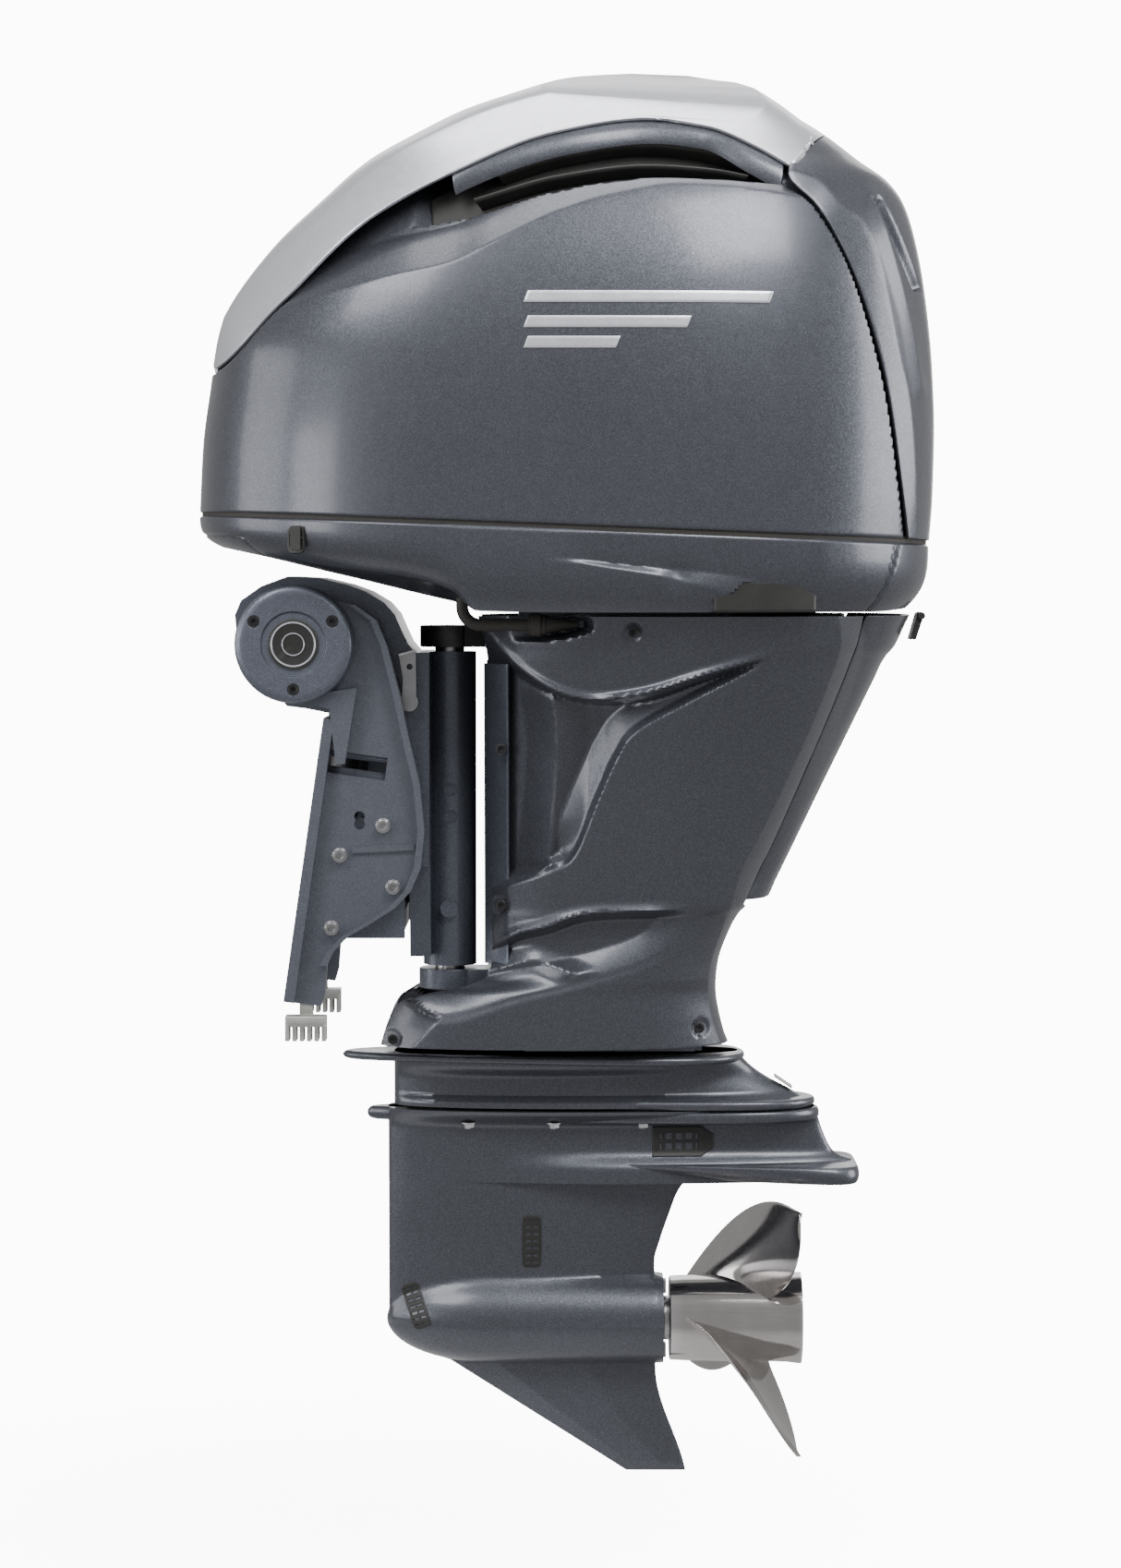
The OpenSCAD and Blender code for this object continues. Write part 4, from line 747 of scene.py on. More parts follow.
def inNotch(x, z):
    roof = lineAt(pan["notch"], x)
    inside = smooth01((x - 518) / 8) * smooth01((642 - x) / 6)
    return smooth01((roof - z) / 4) * inside


def panDepth(x, z, share):
    depth = pan["tuck"] * share ** 3.2
    top = lineAt(pan["spearTop"], x)
    low = lineAt(pan["spearLow"], x)
    above = np.clip((z - low) / np.maximum(top - low, 4), 0, 1)
    lean = 1 - 0.8 * np.clip((z - top) / np.maximum(seamZ(x) - top, 5), 0, 1)
    spear = 8 * above * lean * smooth01((x - 290) / 90) * smooth01((655 - x) / 30)
    px, pz, reach, deep = pan["pocket"]
    pocket = deep * np.exp(-((x - px) / reach) ** 2 - ((z - pz) / reach) ** 2)
    cover = 2 * smooth01((3 - np.abs(sideOf(pan["frontCover"], x, z))) / 2)
    groove = 4 * smooth01((4 - np.abs(sideOf(pan["rearGroove"], x, z))) / 3)
    rim = 3 * smooth01((0.035 - share) / 0.035)
    return depth + spear + pocket + cover + groove + rim + 26 * inNotch(x, z)


def makePan():
    n, m = pan["rows"], pan["cols"]
    angle = 2 * math.pi * np.arange(m) / m
    x = cowlPoint(angle, 0.0)[:, 0]
    bottom = lineAt(pan["lower"], x)
    top = seamZ(x) - 3
    rows = []
    for k in range(n):
        share = k / (n - 1)
        z = mix(top, bottom, share)
        rows.append(panSide(angle, z, panDepth(x, z, np.full(m, share))))
    edge = rows[-1]
    x0, x1, half = pan["hole"]
    c, s = np.cos(angle), np.sin(angle)
    holeX = mix(x0, x1, (1 - np.sign(c) * np.abs(c) ** 0.7) / 2)
    holeY = -half * np.sign(s) * np.abs(s) ** 0.7
    holeZ = mix(pan["holeHigh"], pan["holeLow"], np.clip((holeX - x0) / 70, 0, 1))
    hole = np.stack([holeX, holeY, holeZ], -1)
    for k in range(1, 7):
        t = k / 6
        row = mix(edge, hole, t)
        row[:, 2] = mix(edge[:, 2], holeZ, smooth01(t) ** 0.6)
        rows.append(row)
    lift = np.array([0, 0, pan["wall"]])
    rows.append(hole + lift)
    for share in (1, 0.6, 0.2, 0.0):
        z = mix(top, bottom, share)
        inner = panSide(angle, z, pan["tuck"] * share ** 3.2 + 12)
        if share == 1:
            inner[:, 2] += pan["wall"]
        rows.append(inner)
    rows.append(rows[0])
    verts = np.vstack(rows)
    shell = addMesh("pan_shell", verts, gridFaces(len(rows), m, True), None)
    fit(shell, "motor", "blue_grey_paint", "lower_cowl")
    x = across(np.linspace(512, 648, 40), 10)
    z = down(np.linspace(139, 180, 10), 40)
    dark = panSide(angleAt(x, np.zeros(x.shape)), z, 14.0)
    liner = addPair("pan_notch_liner", dark, (300, 0, 160))
    thicken(liner, 2, 0)
    fit(liner, "motor", "black_plastic")


def makeSeal():
    m = 400
    angle = 2 * math.pi * np.arange(m) / m
    rows = []
    for depth, dz in ((4, -5), (3, -2), (3, 4), (4, 7), (10, 7), (10, -5), (4, -5)):
        ring = cowlPoint(angle, 0.0, depth)
        ring[:, 2] += dz
        rows.append(ring)
    seal = addMesh("cowl_seal", np.vstack(rows), gridFaces(len(rows), m, True), None)
    fit(seal, "motor", "black_rubber")


# a plate with round corners that lies on the side of the pan
def makeSwitchBezel():
    look = {"x": -28, "z": 232, "half": (11.5, 18), "power": 4, "thick": 2.2,
            "rings": (1.0, 0.93, 0.74, 0.68)}
    lifts = (0.2, look["thick"], look["thick"], -1.0)
    angle = 2 * math.pi * np.arange(64) / 64
    rows = []
    for size, lift in zip(look["rings"], lifts):
        c, s = np.cos(angle), np.sin(angle)
        x = look["x"] + look["half"][0] * size * np.sign(c) * np.abs(c) ** (2 / look["power"])
        z = look["z"] + look["half"][1] * size * np.sign(s) * np.abs(s) ** (2 / look["power"])
        rows.append(panSide(angleAt(x, np.zeros(64)), z, -lift))
    verts = np.vstack(rows)
    bezel = addMesh("switch_bezel", verts, gridFaces(4, 64, True), (300, 0, 232))
    thicken(bezel, 3, 0)
    fit(bezel, "motor", "black_plastic")


makePan()
makeSeal()
makeSwitchBezel()
print("pan made")


# ---- the aprons: level slices from a front edge to the rear groove, with pressed-in character lines
apron = {
    "nose": [[-450, 30], [-372, 60], [-352, 150], [-300, 180], [136, 185]],
    "tail": [[-450, 543], [-412, 535], [-374, 530], [-336, 533], [-298, 546], [-267, 568], [-254, 590],
             [-225, 604.2], [-90, 670.3], [45, 736.3], [75, 751], [90, 764], [115, 776], [136, 786]],
    "front": [[-450, 66], [-412, 78], [-390, 90], [-374, 122], [-360, 190], [-345, 214], [-318, 219],
              [5, 219], [85, 212], [136, 200]],
    "width": [[-450, 120], [-400, 125], [-340, 130], [-200, 155], [-50, 192], [60, 232], [136, 262]],
    "grooveLine": [[-262, 560], [-250, 568], [-29, 662], [135, 725]],
    "grooveWidth": 5, "grooveDeep": 10, "hose": [(190, 20), (285, 19), (325, 13), (352, 5)], "hoseZ": 122,
    "hoseY": -172, "planPower": 2.4, "low": -444, "high": 133,
    "rows": 190, "cols": 230,
    "shoulder": [(190, 150), (202, 122), (223, 98), (247, 74), (271, 55), (299, 39), (335, 28), (374, 27),
                 (430, 37), (494, 58), (592, 88)],
    "mainEdge": [(200, -240), (228, -229), (301, -203), (332, -180), (362, -106), (388, -48), (411, -17),
                 (481, 22), (567, 67), (592, 88)],
    "column": [(299, 39), (306, -27), (303, -100), (294, -193)],
    "spearLow": [(200, -312), (228, -301), (252, -287), (289, -277), (350, -258), (479, -254)],
    "band": [(97, -371), (154, -399), (252, -372), (326, -354), (424, -323), (473, -287), (500, -250)],
    "hip": [(200, -342), (228, -337), (271, -326), (300, -332), (350, -350)],
    "toe": [(104, -452), (154, -399)],
    "rearFacet": [(669, 140), (675, 95), (660, 43), (633, -28), (600, -102), (570, -164), (552, -200),
                  (529, -277), (512, -329), (508, -367), (514, -407), (530, -452)],
}


def apronPoint(x, z, depth):
    nose, tail = lineAt(apron["nose"], z), lineAt(apron["tail"], z)
    middle, reach = (nose + tail) / 2, (tail - nose) / 2
    e = np.clip((x - middle) / reach, -1, 1)
    y = np.maximum(0, 1 - np.abs(e) ** apron["planPower"]) ** (1 / apron["planPower"])
    # depth runs straight across the boat in front and follows the outline behind
    turnIn = smooth01((x - 300) / 200)
    half = y * lineAt(apron["width"], z) - depth * mix(1, y, turnIn)
    return np.stack([middle + e * (reach - depth * turnIn), -np.maximum(half, 0.3), z], -1)


def apronDepth(x, z):
    under = -sideOf(apron["shoulder"], x, z)
    scoopSide = sideOf(apron["mainEdge"], x, z)
    ramp = mix(14, 40, smooth01((z + 200) / 70))
    wall = mix(9, 16, smooth01((x - 330) / 120))
    scoop = 30 * smooth01(under / wall) * np.clip(scoopSide / ramp, 0, 1) ** 1.25
    column = sideOf(apron["column"], x, z)
    inScoop = smooth01(under / 12) * smooth01(scoopSide / 10)
    post = ridge(column, 20, 42) * inScoop
    cheek = 0.22 * np.clip(column, 0, 60) * inScoop
    tip = smooth01((x - 330) / 60) * smooth01((604 - x) / 60)
    spear = ridge(under, 6, 11) * tip
    shoulderLean = 4 * smooth01(-under / 10) * smooth01((590 - x) / 170)
    below = -sideOf(apron["spearLow"], x, z)
    above = sideOf(apron["band"], x, z)
    leafEnd = smooth01((505 - x) / 50)
    leaf = 20 * smooth01(below / 16) * np.clip(above / 34, 0, 1) ** 1.2 * leafEnd
    spearTwo = ridge(below, 6, 12) * smooth01((x - 215) / 40) * smooth01((492 - x) / 70)
    hip = ridge(sideOf(apron["hip"], x, z), 9, 20) * smooth01(above / 12) * smooth01(below / 12)
    skirt = -3 * smooth01(-above / 12) * smooth01((500 - x) / 80)
    toe = 0.5 * np.maximum(0, sideOf(apron["toe"], x, z)) * smooth01((168 - x) / 14) * smooth01(-above / 4)
    back = 0.42 * np.maximum(0, sideOf(apron["rearFacet"], x, z)) * smooth01((z + 470) / 40)
    fold = 0.35 * np.maximum(0, 240 - x) * smooth01((z + 335) / 30) * smooth01((90 - z) / 30)
    return (scoop + cheek - post - spear + shoulderLean + leaf - spearTwo - hip + skirt + toe
            + np.minimum(back, 22) + fold)


def screwRecess(x, z):
    deep = np.zeros(x.shape)
    for sx, sz in ((403, 113), (230, -43), (230, -252), (498, -419), (84, -434)):
        deep = np.maximum(deep, 3 * smooth01((13 - np.hypot(x - sx, z - sz)) / 3))
    return deep


# the hollow round the flush hose at the top of the port apron
def hoseHollow(points):
    x, z = points[..., 0], points[..., 2]
    reach = np.interp(x, [k[0] for k in apron["hose"]], [k[1] for k in apron["hose"]])
    within = smooth01((reach + 4 - np.abs(z - apron["hoseZ"])) / 8) * smooth01((354 - x) / 14)
    points[..., 1] = mix(points[..., 1], np.maximum(points[..., 1], apron["hoseY"]), within)
    return points


def makeAprons():
    n, m = apron["rows"], apron["cols"]
    z = np.linspace(apron["low"], apron["high"], n)
    start = lineAt(apron["front"], z)
    groove = lineAt(apron["grooveLine"], z)
    tail = lineAt(apron["tail"], z)
    hasGroove = smooth01((z + 262) / 12)
    end = mix(tail - 0.5, groove + apron["grooveWidth"], hasGroove)
    share = 1 - (1 - np.linspace(0, 1, m)) ** 1.5
    x = start[:, None] + (end - start)[:, None] * share[None, :]
    zz = down(z, m)
    inGroove = apron["grooveDeep"] * smooth01((x - groove[:, None]) / 3) * hasGroove[:, None]
    depth = apronDepth(x, zz) + screwRecess(x, zz)
    depth = np.where(inGroove > 0.5, np.maximum(depth, 0) + inGroove, depth)
    room = lineAt(apron["width"], zz) * 0.6
    points = apronPoint(x, zz, np.minimum(depth, room))
    points[..., 1] = np.minimum(points[..., 1], -0.4)
    for side, sign in (("starboard", -1), ("port", 1)):
        shape = points if side == "starboard" else hoseHollow(points)
        verts = shape.reshape(-1, 3) * np.array([1, sign, 1])
        shell = addMesh(f"apron_{side}_shell", verts, gridFaces(n, m), (380, 0, -100))
        thicken(shell, 3.5)
        fit(shell, "motor", "blue_grey_paint", f"apron_{side}")


def makeRearCover():
    n, m = 120, 26
    z = np.linspace(-248, 133, n)
    start = lineAt(apron["grooveLine"], z) + apron["grooveWidth"] + 1.5
    tail = lineAt(apron["tail"], z)
    share = 1 - (1 - np.linspace(0, 1, m)) ** 1.7
    x = start[:, None] + (tail - start)[:, None] * share[None, :]
    zz = down(z, m)
    away = x - start[:, None]
    back = np.minimum(0.42 * np.maximum(0, sideOf(apron["rearFacet"], x, zz)), 22)
    depth = back * np.clip(1 - away / (tail - start)[:, None], 0, 1) + 3.5 * smooth01(away / 26)
    points = apronPoint(x, zz, depth + 2)
    points[..., 0] += 3 * smooth01((12 - np.abs(points[..., 1])) / 12)
    cover = addPair("rear_cover_shell", points, (500, 0, 0), 0.6)
    thicken(cover, 3.5)
    fit(cover, "motor", "blue_grey_paint", "apron_rear_cover")


# trim inside the front edge of each apron
def makeFrontTrim():
    n, m = 90, 14
    z = down(np.linspace(-332, 70, n), m)
    x = across(np.linspace(208, 240, m), n)
    points = apronPoint(x, z, 12 + 0.25 * (240 - x))
    trim = addPair("apron_front_trim", points, (300, 0, -100))
    thicken(trim, 3, 0.6)
    # the trim takes the bracket paint, which is the blue-grey paint lightened as painted light
    fit(trim, "motor", "bracket_paint")


makeAprons()
makeRearCover()
makeFrontTrim()
print("aprons made")


# ---- the lower unit: closed rings at each level, from a front line to a rear line
def ringLoft(levels, ends, halfWidthAt, cols=110):
    rows = []
    turn = math.pi * np.arange(cols + 1) / cols
    share = (1 - np.cos(turn)) / 2
    for z in levels:
        x0, x1 = ends(z)
        x = mix(x0, x1, share)
        half = np.maximum(halfWidthAt(x, np.full(x.shape, float(z)), share), 0.15)
        port = np.stack([x, -half, np.full(x.shape, float(z))], -1)
        rows.append(np.vstack([port, mirrored(port[::-1])]))
    ring = len(rows[0])
    faces = gridFaces(len(rows), ring, True)
    faces.append(tuple(range(ring)))
    faces.append(tuple((len(rows) - 1) * ring + k for k in range(ring)))
    return np.vstack(rows), faces


def straightAt(line, at):
    return np.interp(at, [k[0] for k in line], [k[1] for k in line])


def softMax(a, b, blendOver):
    return (a + b + np.sqrt((a - b) ** 2 + blendOver ** 2)) / 2 - blendOver * 0.28


def foil(share, half):
    return half * (4 * share * (1 - share)) ** 0.25 * np.sqrt(np.maximum(0, 1 - 0.75 * share ** 2))


unit = {
    "shaftZ": -826, "torpedoR": 62, "noseX": 73, "noseLen": 150, "torpedoEnd": 450,
    "trailing": [[-1037, 481], [-1032, 480], [-898, 440], [-747, 438], [-716, 446], [-678, 459],
                 [-652, 469], [-636, 480], [-625, 490]],
    "skegFront": [[-1037, 401], [-833, 79], [-826, 74]],
    "upperRear": [[-634, 700], [-606, 706], [-600, 686], [-590, 677], [-563, 665], [-530, 655]],
    "extensionRear": [[-530, 655], [-508, 616], [-498, 597], [-481, 571], [-462, 553], [-440, 543]],
    "plate": {"front": 190, "rear": 714, "half": 100, "top": -608, "bottom": -631},
    # screens on the sides: middle x and z, half length, half height, lean in degrees
    "inlets": [(271, -715, 13.5, 37, 0), (114, -803, 13, 31, -20)],
    "relief": (476, -578, 44, 21, 0), "boltX": [186, 301, 421],
}


def torpedoWidth(x, z):
    ahead = np.clip((unit["noseX"] + unit["noseLen"] - x) / unit["noseLen"], 0, 1)
    r = unit["torpedoR"] * np.sqrt(np.maximum(0, 1 - ahead ** 2))
    return np.sqrt(np.maximum(0, r ** 2 - (z - unit["shaftZ"]) ** 2))


def lowerEnds(z):
    rise = abs(z - unit["shaftZ"])
    front = 76.0 if z > unit["shaftZ"] else float(straightAt(unit["skegFront"], z))
    rear = float(lineAt(unit["trailing"], z))
    if rise < unit["torpedoR"] - 1:
        nose = unit["noseX"] + unit["noseLen"] * (1 - math.sqrt(1 - (rise / unit["torpedoR"]) ** 2))
        front, rear = min(front, nose), max(rear, unit["torpedoEnd"])
    return front, rear


def lowerSide(x, z):
    half = mix(36, 46, smooth01((z + 800) / 160))
    strut = foil(np.clip((x - 76) / (lineAt(unit["trailing"], z) - 74), 0.0, 1.0), half)
    return softMax(strut, torpedoWidth(x, z), 16)


def lowerHalf(x, z, share):
    if z[0] > unit["shaftZ"]:
        return lowerSide(x, z) * smooth01(share / 0.004) ** 0.5
    low, high = straightAt(unit["skegFront"], z), lineAt(unit["trailing"], z)
    s = np.clip((x - low) / (high - low), 0, 1)
    skeg = 8.5 * np.minimum(1, s / 0.22) ** 0.7 * np.clip((1 - s) / 0.35, 0.12, 1)
    skeg = skeg * smooth01((z + 1040) / 16)
    return softMax(skeg, torpedoWidth(x, z), 8) * smooth01(share / 0.004) ** 0.5


def upperHalf(x, z, share):
    strut = foil(share, 46)
    flare = 34 * smooth01((z + 560) / 26) + 14 * smooth01((-590 - z) / 26) * smooth01((x - 190) / 200)
    return strut + flare * np.sqrt(np.maximum(0, 4 * share * (1 - share)))


def extensionHalf(x, z, share):
    waist = 60 + 16 * smooth01((z + 492) / 22) + 14 * smooth01((-514 - z) / 8)
    return waist * (4 * share * (1 - share)) ** 0.36 * np.sqrt(1 - 0.55 * share ** 2)


# a flat fin with a round edge, pointed in front and blunt behind
def finPlate(x0, x1, half, z0, z1, frontSlope=0.0, blunt=0.3, point=0.62):
    levels = z0 + (z1 - z0) * (1 - np.cos(math.pi * np.arange(13) / 12)) / 2

    def edgeAt(z):
        t = (z - z0) / (z1 - z0)
        return t, 5 * (1 - math.sqrt(max(0, 1 - (2 * t - 1) ** 2)))

    def ends(z):
        t, pinch = edgeAt(z)
        return x0 + pinch * 2 + frontSlope * (1 - t), x1 - pinch

    def width(x, z, share):
        pinch = edgeAt(z[0])[1]
        outline = half * share ** point * (1 - share ** 9) ** blunt
        return np.maximum(0.2, outline - pinch * np.minimum(1, share * 6))

    return ringLoft(levels, ends, width, 120)


def makeLowerUnit():
    plate = unit["plate"]
    low = ringLoft(np.concatenate([np.arange(-1036, -628, 4), [-627]]), lowerEnds, lowerHalf)
    high = ringLoft(np.arange(-634, -530, 4), lambda z: (76, float(lineAt(unit["upperRear"], z))), upperHalf)
    vent = finPlate(plate["front"], plate["rear"], plate["half"], plate["bottom"], plate["top"], 250, 0.16)
    lip = finPlate(47, 662, 80, -552, -534, 0, 0.5, 0.5)
    gear = addMesh("gearcase_casting", *joined([low, high, vent, lip]), None, 0.01, 50)
    fit(gear, "motor", "blue_grey_paint", "gearcase")
    rear = unit["extensionRear"]
    case = ringLoft(np.arange(-530, -455, 4), lambda z: (84, float(lineAt(rear, z))), extensionHalf)
    flange = finPlate(98, 656, 84, -533, -520, 0, 0.5, 0.4)
    splash = finPlate(14, 560, 114, -469, -458, 0, 0.5, 0.46)
    upper = addMesh("extension_casting", *joined([case, flange, splash]), None, 0.01, 50)
    fit(upper, "motor", "blue_grey_paint", "extension_case")


def upperSide(x, z):
    return upperHalf(x, z, np.clip((x - 76) / (lineAt(unit["upperRear"], z) - 76), 0, 1))


# a moulded screen let into the side: its own height comes from reliefAt(u, v), both from -1 to 1
def sideScreen(spot, sideAt, reliefAt, cols=110, rows=150):
    cx, cz, halfX, halfZ, lean = spot
    u = across(np.linspace(-1.06, 1.06, cols), rows)
    v = down(np.linspace(-1.06, 1.06, rows), cols)
    a = math.radians(lean)
    x = cx + u * halfX * math.cos(a) + v * halfZ * math.sin(a)
    z = cz - u * halfX * math.sin(a) + v * halfZ * math.cos(a)
    y = -(sideAt(x.ravel(), z.ravel()).reshape(x.shape) + reliefAt(u, v))
    return bothSides(np.stack([x, y, z], -1).reshape(-1, 3), gridFaces(rows, cols))


# height of a plate with rounded ends: up inside, sunk under the casting outside
def plateEdge(u, v, rim, tall):
    out = np.maximum(np.abs(u) ** 6 + np.abs(v) ** 8 - 1, -1)
    return tall - (tall + 3) * smooth01((out + rim) / rim)


# two ladders of slots across the screen
def inletRelief(u, v):
    slots = smooth01((np.cos(v * 7.5 * math.pi) - 0.1) / 0.35) * smooth01((0.72 - np.abs(u)) / 0.1)
    slots = slots * smooth01((0.82 - np.abs(v)) / 0.06) * smooth01((np.abs(u) - 0.06) / 0.06)
    return plateEdge(u, v, 0.35, 1.6) - 3.2 * slots


def reliefOutline(u, v):
    return np.maximum(np.abs(v) - np.clip(1.15 - np.maximum(0, u - 0.45) * 1.35, 0, 1), np.abs(u) - 1)


def reliefHeight(u, v):
    inside = smooth01(-reliefOutline(u, v) / 0.08)
    window = smooth01((0.62 - np.abs(u + 0.14)) / 0.05) * smooth01((0.58 - np.abs(v)) / 0.1)
    bars = smooth01((np.abs((u + 0.76) % 0.31 - 0.155) - 0.03) / 0.03)
    bars = smooth01((np.abs(v) - 0.05) / 0.08) * bars
    return -3 + 5.6 * inside - 5 * window * bars


# bright bars behind the grille windows: a painted highlight that stands in for the reflections in the slots
def reliefGlint(u, v):
    rows = smooth01((0.36 - np.abs(np.abs(v) - 0.3) * 2.4) / 0.2)
    return -6 + 5.2 * smooth01((0.6 - np.abs(u + 0.14)) / 0.04) * rows


def makeScreens():
    inlets = joined([sideScreen(spot, lowerSide, inletRelief) for spot in unit["inlets"]])
    screens = addMesh("inlet_screens", *inlets, None, 0.01, 60)
    fit(screens, "motor", "black_plastic", "water_inlet_screens")
    grille = addMesh("relief_grille", *sideScreen(unit["relief"], upperSide, reliefHeight, 150, 90),
                     None, 0.01, 60)
    fit(grille, "motor", "black_plastic", "exhaust_relief_grilles")
    # the zinc bars behind the grille are a painted highlight for the reflections in the slots
    glint = addMesh("relief_slot_highlight", *sideScreen(unit["relief"], upperSide, reliefGlint, 150, 90),
                    None, 0.01, 60)
    fit(glint, "motor", "zinc")


# bolts that hold the gearcase up, under its flange
def makeGearcaseBolts():
    parts = []
    for x in unit["boltX"]:
        y = float(upperSide(np.array([float(x)]), np.array([-557.0]))[0]) + 3
        head = [(0, 7.5), (7, 7.5), (8.5, 6), (8.5, 0.1)]
        washer = [(0, 10.5), (1.6, 10.5), (1.6, 0.1)]
        for profile, turns in ((head, 6), (washer, 48)):
            parts.append(bothSides(*turned(profile, (x, -y, -551), (0, 0, -1), turns)))
    bolts = addMesh("gearcase_bolt_heads", *joined(parts), None, 0.01, 30)
    fit(bolts, "motor", "stainless", "gearcase_bolts")


makeLowerUnit()
makeScreens()
makeGearcaseBolts()
print("lower unit made")


# ---- the propeller: a flared hub with its own ring of blades
prop = {"x": 458, "length": 180, "hubR": 57, "tipR": 193, "blades": 3, "pitch": 430, "rootSpan": 95,
        "skew": (5.5, 28), "middle": (76, 94, 1.15), "rows": 56, "cols": 48}


def bladePoint(s, c, side):
    span = prop["rootSpan"] * np.maximum(0, 1 - s ** 1.7) ** 0.8
    a = np.radians(prop["skew"][0] + prop["skew"][1] * s + (c - 0.5) * span)
    m0, m1, power = prop["middle"]
    x = prop["x"] + m0 + m1 * s ** power + prop["pitch"] / 360 * (c - 0.5) * span
    r = mix(prop["hubR"] - 4, prop["tipR"], s)
    thick = (0.7 + 4.2 * (1 - s) ** 1.4) * np.sqrt(np.maximum(0.0, 4 * c * (1 - c)))
    root = 5 * np.exp(-s / 0.035)
    lean = 6 * np.sin(math.pi * c) * s
    x = x + side * (thick + root) + lean
    return np.stack([x, -r * np.sin(a), r * np.cos(a) + unit["shaftZ"]], -1)


def turnAboutShaft(points, degrees):
    a = math.radians(degrees)
    y, z = points[..., 1], points[..., 2] - unit["shaftZ"]
    return np.stack([points[..., 0], y * math.cos(a) - z * math.sin(a),
                     y * math.sin(a) + z * math.cos(a) + unit["shaftZ"]], -1)


def makePropeller():
    n, m = prop["rows"], prop["cols"]
    s = (np.linspace(0, 1, n) ** 0.9)[:, None] * 0.998 * np.ones((1, m))
    c = across((1 - np.cos(np.linspace(0, math.pi, m))) / 2, n)
    faces = gridFaces(n, m)
    parts = []
    for k in range(prop["blades"]):
        for side in (1, -1):
            blade = turnAboutShaft(bladePoint(s, c, side), k * 360 / prop["blades"])
            parts.append((blade.reshape(-1, 3), faces))
    hub = [(0, 44), (0, 55), (1.5, 57), (20, 58), (80, 59), (130, 59), (160, 60), (176, 62), (180, 62),
           (180, 58), (170, 55), (120, 53), (6, 53), (4, 44)]
    parts.append(turned(hub, (prop["x"], 0, unit["shaftZ"]), (1, 0, 0), 96))
    core = [(6, 13.2), (6, 27), (98, 27), (98, 13.2)]
    parts.append(turned(core, (prop["x"], 0, unit["shaftZ"]), (1, 0, 0), 64))
    for k in range(3):
        web = [(prop["x"] + 6, y, unit["shaftZ"] + z) for y in (-3, 3) for z in (22, 55)]
        web += [(prop["x"] + 92, y, unit["shaftZ"] + z) for y in (-3, 3) for z in (22, 55)]
        box = [(0, 1, 3, 2), (4, 6, 7, 5), (0, 2, 6, 4), (1, 5, 7, 3), (0, 4, 5, 1), (2, 3, 7, 6)]
        parts.append((turnAboutShaft(np.array(web, float), k * 120 + 60), box))
    wheel = addMesh("propeller_casting", *joined(parts), None, 0.05, 35)
    fit(wheel, "prop", "polished_stainless", "propeller")


makePropeller()
print("propeller made")


# ---- CAD pieces that are shown as they are: soft edges and their own finish
finishes = {
    # the bracket paint is the blue-grey paint lightened as painted light
    "bracket_paint": ["clamp_bracket_port", "clamp_bracket_starboard", "tilt_cap_port", "tilt_cap_starboard",
                      "trim_tilt_housing", "swivel_bracket", "lower_mount_bracket", "driveshaft_housing",
                      "extension_case", "gearcase", "lower_cowl", "apron_port", "apron_starboard",
                      "apron_rear_cover"],
    "stainless": ["bracket_bolts", "tilt_tube", "ram_lower_pin", "ram_upper_pin", "tilt_support_lever",
                  "tilt_rod", "trim_rods", "pivot_shaft", "gearcase_bolts", "propeller_shaft", "propeller_nut",
                  "thrust_washer", "shift_rod", "driveshaft"],
    "black_plastic": ["cowl_latch_lever", "tilt_switch_rocker", "water_inlet_screens", "intake_manifold",
                      "exhaust_relief_grilles", "water_pump", "cylinder_heads"],
    "black_rubber": ["mount_rubbers", "flush_hose"],
    "black_steel": ["apron_screws", "cap_screws", "steering_arm", "tilt_cylinder", "trim_tilt_motor",
                    "starter_motor"],
    "zinc": ["bracket_anode", "trim_anode"],
    "cast_aluminium": ["engine_block", "bearing_carrier"],
    "gear_steel": ["crankshaft", "flywheel", "pinion_gear", "forward_gear", "reverse_gear", "shaft_bearings"],
    "bronze_bush": ["swivel_bushes"],
    "polished_stainless": ["propeller"],
}
edgeWidth = {"clamp_bracket_port": 1.6, "clamp_bracket_starboard": 1.6, "swivel_bracket": 1.6,
             "steering_arm": 1.5, "lower_mount_bracket": 1.5, "bracket_anode": 0.8, "tilt_support_lever": 0.6}


def finishNodes():
    for finish, names in finishes.items():
        for name in names:
            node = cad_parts[name]
            node.data.materials.clear()
            node.data.materials.append(materials[finish])
            if node.hide_render:
                continue
            node.modifiers.new("weld", "WELD").merge_threshold = 0.01 * mm
            flat = node.modifiers.new("flat", "DECIMATE")
            flat.decimate_type = "DISSOLVE"
            flat.angle_limit = math.radians(0.4)
            edge = node.modifiers.new("edge", "BEVEL")
            edge.width = edgeWidth.get(name, 0.5) * mm
            edge.segments = 2
            edge.limit_method = "ANGLE"
            edge.angle_limit = math.radians(35)
            node.modifiers.new("normals", "WEIGHTED_NORMAL").keep_sharp = True


finishNodes()
print("CAD pieces finished")


# ---- plain round medallions in the tilt caps: a black dish with silver rings
medallion = {"centre": (-37, -211.2, 97), "radius": 33, "rings": ((29.5, 2.2), (15.0, 1.4)), "high": 3.4}


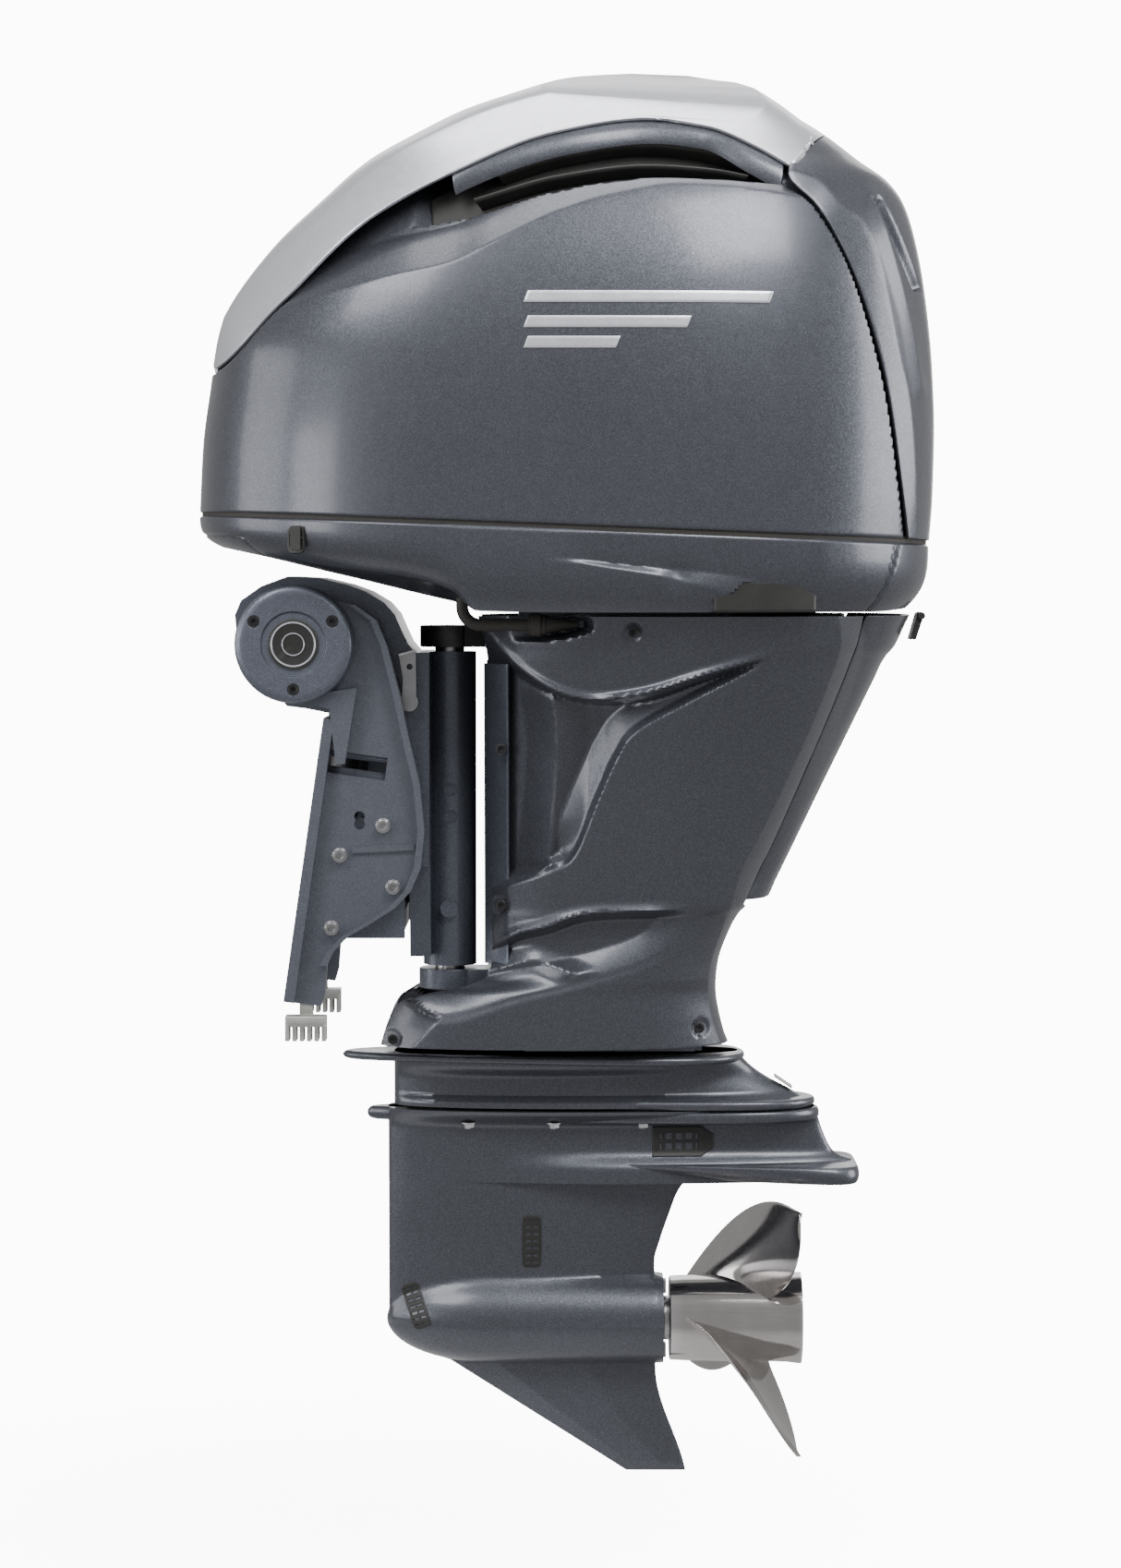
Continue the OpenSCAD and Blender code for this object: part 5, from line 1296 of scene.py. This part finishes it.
def makeMedallions():
    x, y, z = medallion["centre"]
    dish = [(0, 0.1), (0, medallion["radius"]), (2.2, medallion["radius"]), (2.8, 32), (2.2, 27.5), (1.6, 24),
            (1.6, 0.1)]
    body = addMesh("medallion_dish", *bothSides(*turned(dish, (x, y, z), (0, -1, 0))), None, 0.01, 40)
    fit(body, "transom_bracket", "black_plastic", "cap_medallions")
    bands = []
    for radius, width in medallion["rings"]:
        high, inner = medallion["high"], radius - width
        band = [(1.2, inner), (high - 0.4, inner), (high, inner + 0.4), (high, radius - 0.4),
                (high - 0.4, radius), (1.2, radius)]
        ring, faces = turned(band, (x, y, z), (0, -1, 0))
        faces = faces[:-2] + [(k, (k + 1) % 72, 5 * 72 + (k + 1) % 72, 5 * 72 + k) for k in range(72)]
        bands.append(bothSides(ring, faces))
    rings = addMesh("medallion_rings", *joined(bands), None, 0.01, 40)
    fit(rings, "transom_bracket", "silver_paint")


makeMedallions()
print("medallions made")


# ---- the studio
studio = {"floorDrop": 60, "floorSize": 12, "world": 12.0, "shade": 0.4, "fade": (0.2, 1.5),
          "lights": [("keyLeft", (-1.8, -3.2, 3.4), 1.8, 110), ("keyRight", (1.9, -3.2, 3.4), 1.8, 150),
                     ("left", (-4.0, -1.0, 0.4), 2.4, 60), ("fill", (-3.2, -3.2, 0.3), 1.4, 40),
                     ("right", (4.4, -0.4, 1.0), 2.6, 140),
                     ("top", (0.3, 0.3, 4.2), 3.2, 130), ("back", (0.6, 4.6, 1.6), 3.4, 60)]}


def makeStage():
    floorZ = cadBox[0].z - studio["floorDrop"] * mm
    half = studio["floorSize"] / 2
    mesh = bpy.data.meshes.new("floor")
    mesh.from_pydata([(-half, -half, floorZ), (half, -half, floorZ), (half, half, floorZ), (-half, half, floorZ)],
                     [], [(0, 1, 2, 3)])
    floor = bpy.data.objects.new("floor", mesh)
    bpy.context.scene.collection.objects.link(floor)
    material, tree, shader = newMaterial("paleFloor")
    place = addNode(tree, "ShaderNodeTexCoord")
    cloud = addNode(tree, "ShaderNodeTexNoise", {"Vector": place.outputs["Object"], "Scale": 0.7})
    tree.links.new(mixColour(tree, cloud.outputs[0], (0.9, 0.9, 0.9, 1), (0.94, 0.94, 0.94, 1)),
                   shader.inputs["Base Color"])
    shader.inputs["Roughness"].default_value = 0.9
    shader.inputs["Emission Color"].default_value = (1, 1, 1, 1)
    shader.inputs["Emission Strength"].default_value = 1.8
    near, far = studio["fade"]
    away = addNode(tree, "ShaderNodeVectorMath", {0: place.outputs["Object"]}, operation="LENGTH")
    shown = addNode(tree, "ShaderNodeMapRange", {0: away.outputs["Value"], 1: near, 2: far, 3: 1.0, 4: 0.0},
                    interpolation_type="SMOOTHSTEP")
    tree.links.new(shown.outputs[0], shader.inputs["Alpha"])
    mesh.materials.append(material)
    world = bpy.data.worlds.new("studioWorld")
    bpy.context.scene.world = world
    world.use_nodes = True
    tree = world.node_tree
    background = tree.nodes["Background"]
    rays = addNode(tree, "ShaderNodeLightPath")
    tree.links.new(mixColour(tree, rays.outputs["Is Camera Ray"], (studio["shade"],) * 3 + (1,),
                             (studio["world"],) * 3 + (1,)), background.inputs["Color"])
    for name, spot, size, power in studio["lights"]:
        lamp = bpy.data.lights.new(name, "AREA")
        lamp.size = size
        lamp.energy = power
        light = bpy.data.objects.new(name, lamp)
        light.location = spot
        light.rotation_mode = "QUATERNION"
        light.rotation_quaternion = (Vector((0.3, 0, -0.1)) - Vector(spot)).to_track_quat("-Z", "Y")
        bpy.context.scene.collection.objects.link(light)


def makeCamera():
    lens = bpy.data.cameras.new("camera")
    lens.sensor_width = 36
    lens.lens = 88.2
    camera = bpy.data.objects.new("camera", lens)
    camera.location = (0.310, -5.2, 0.190)
    camera.rotation_euler = (math.radians(90 - 3.15), 0, 0)
    bpy.context.scene.collection.objects.link(camera)
    bpy.context.scene.camera = camera


makeStage()
makeCamera()
print("studio made")
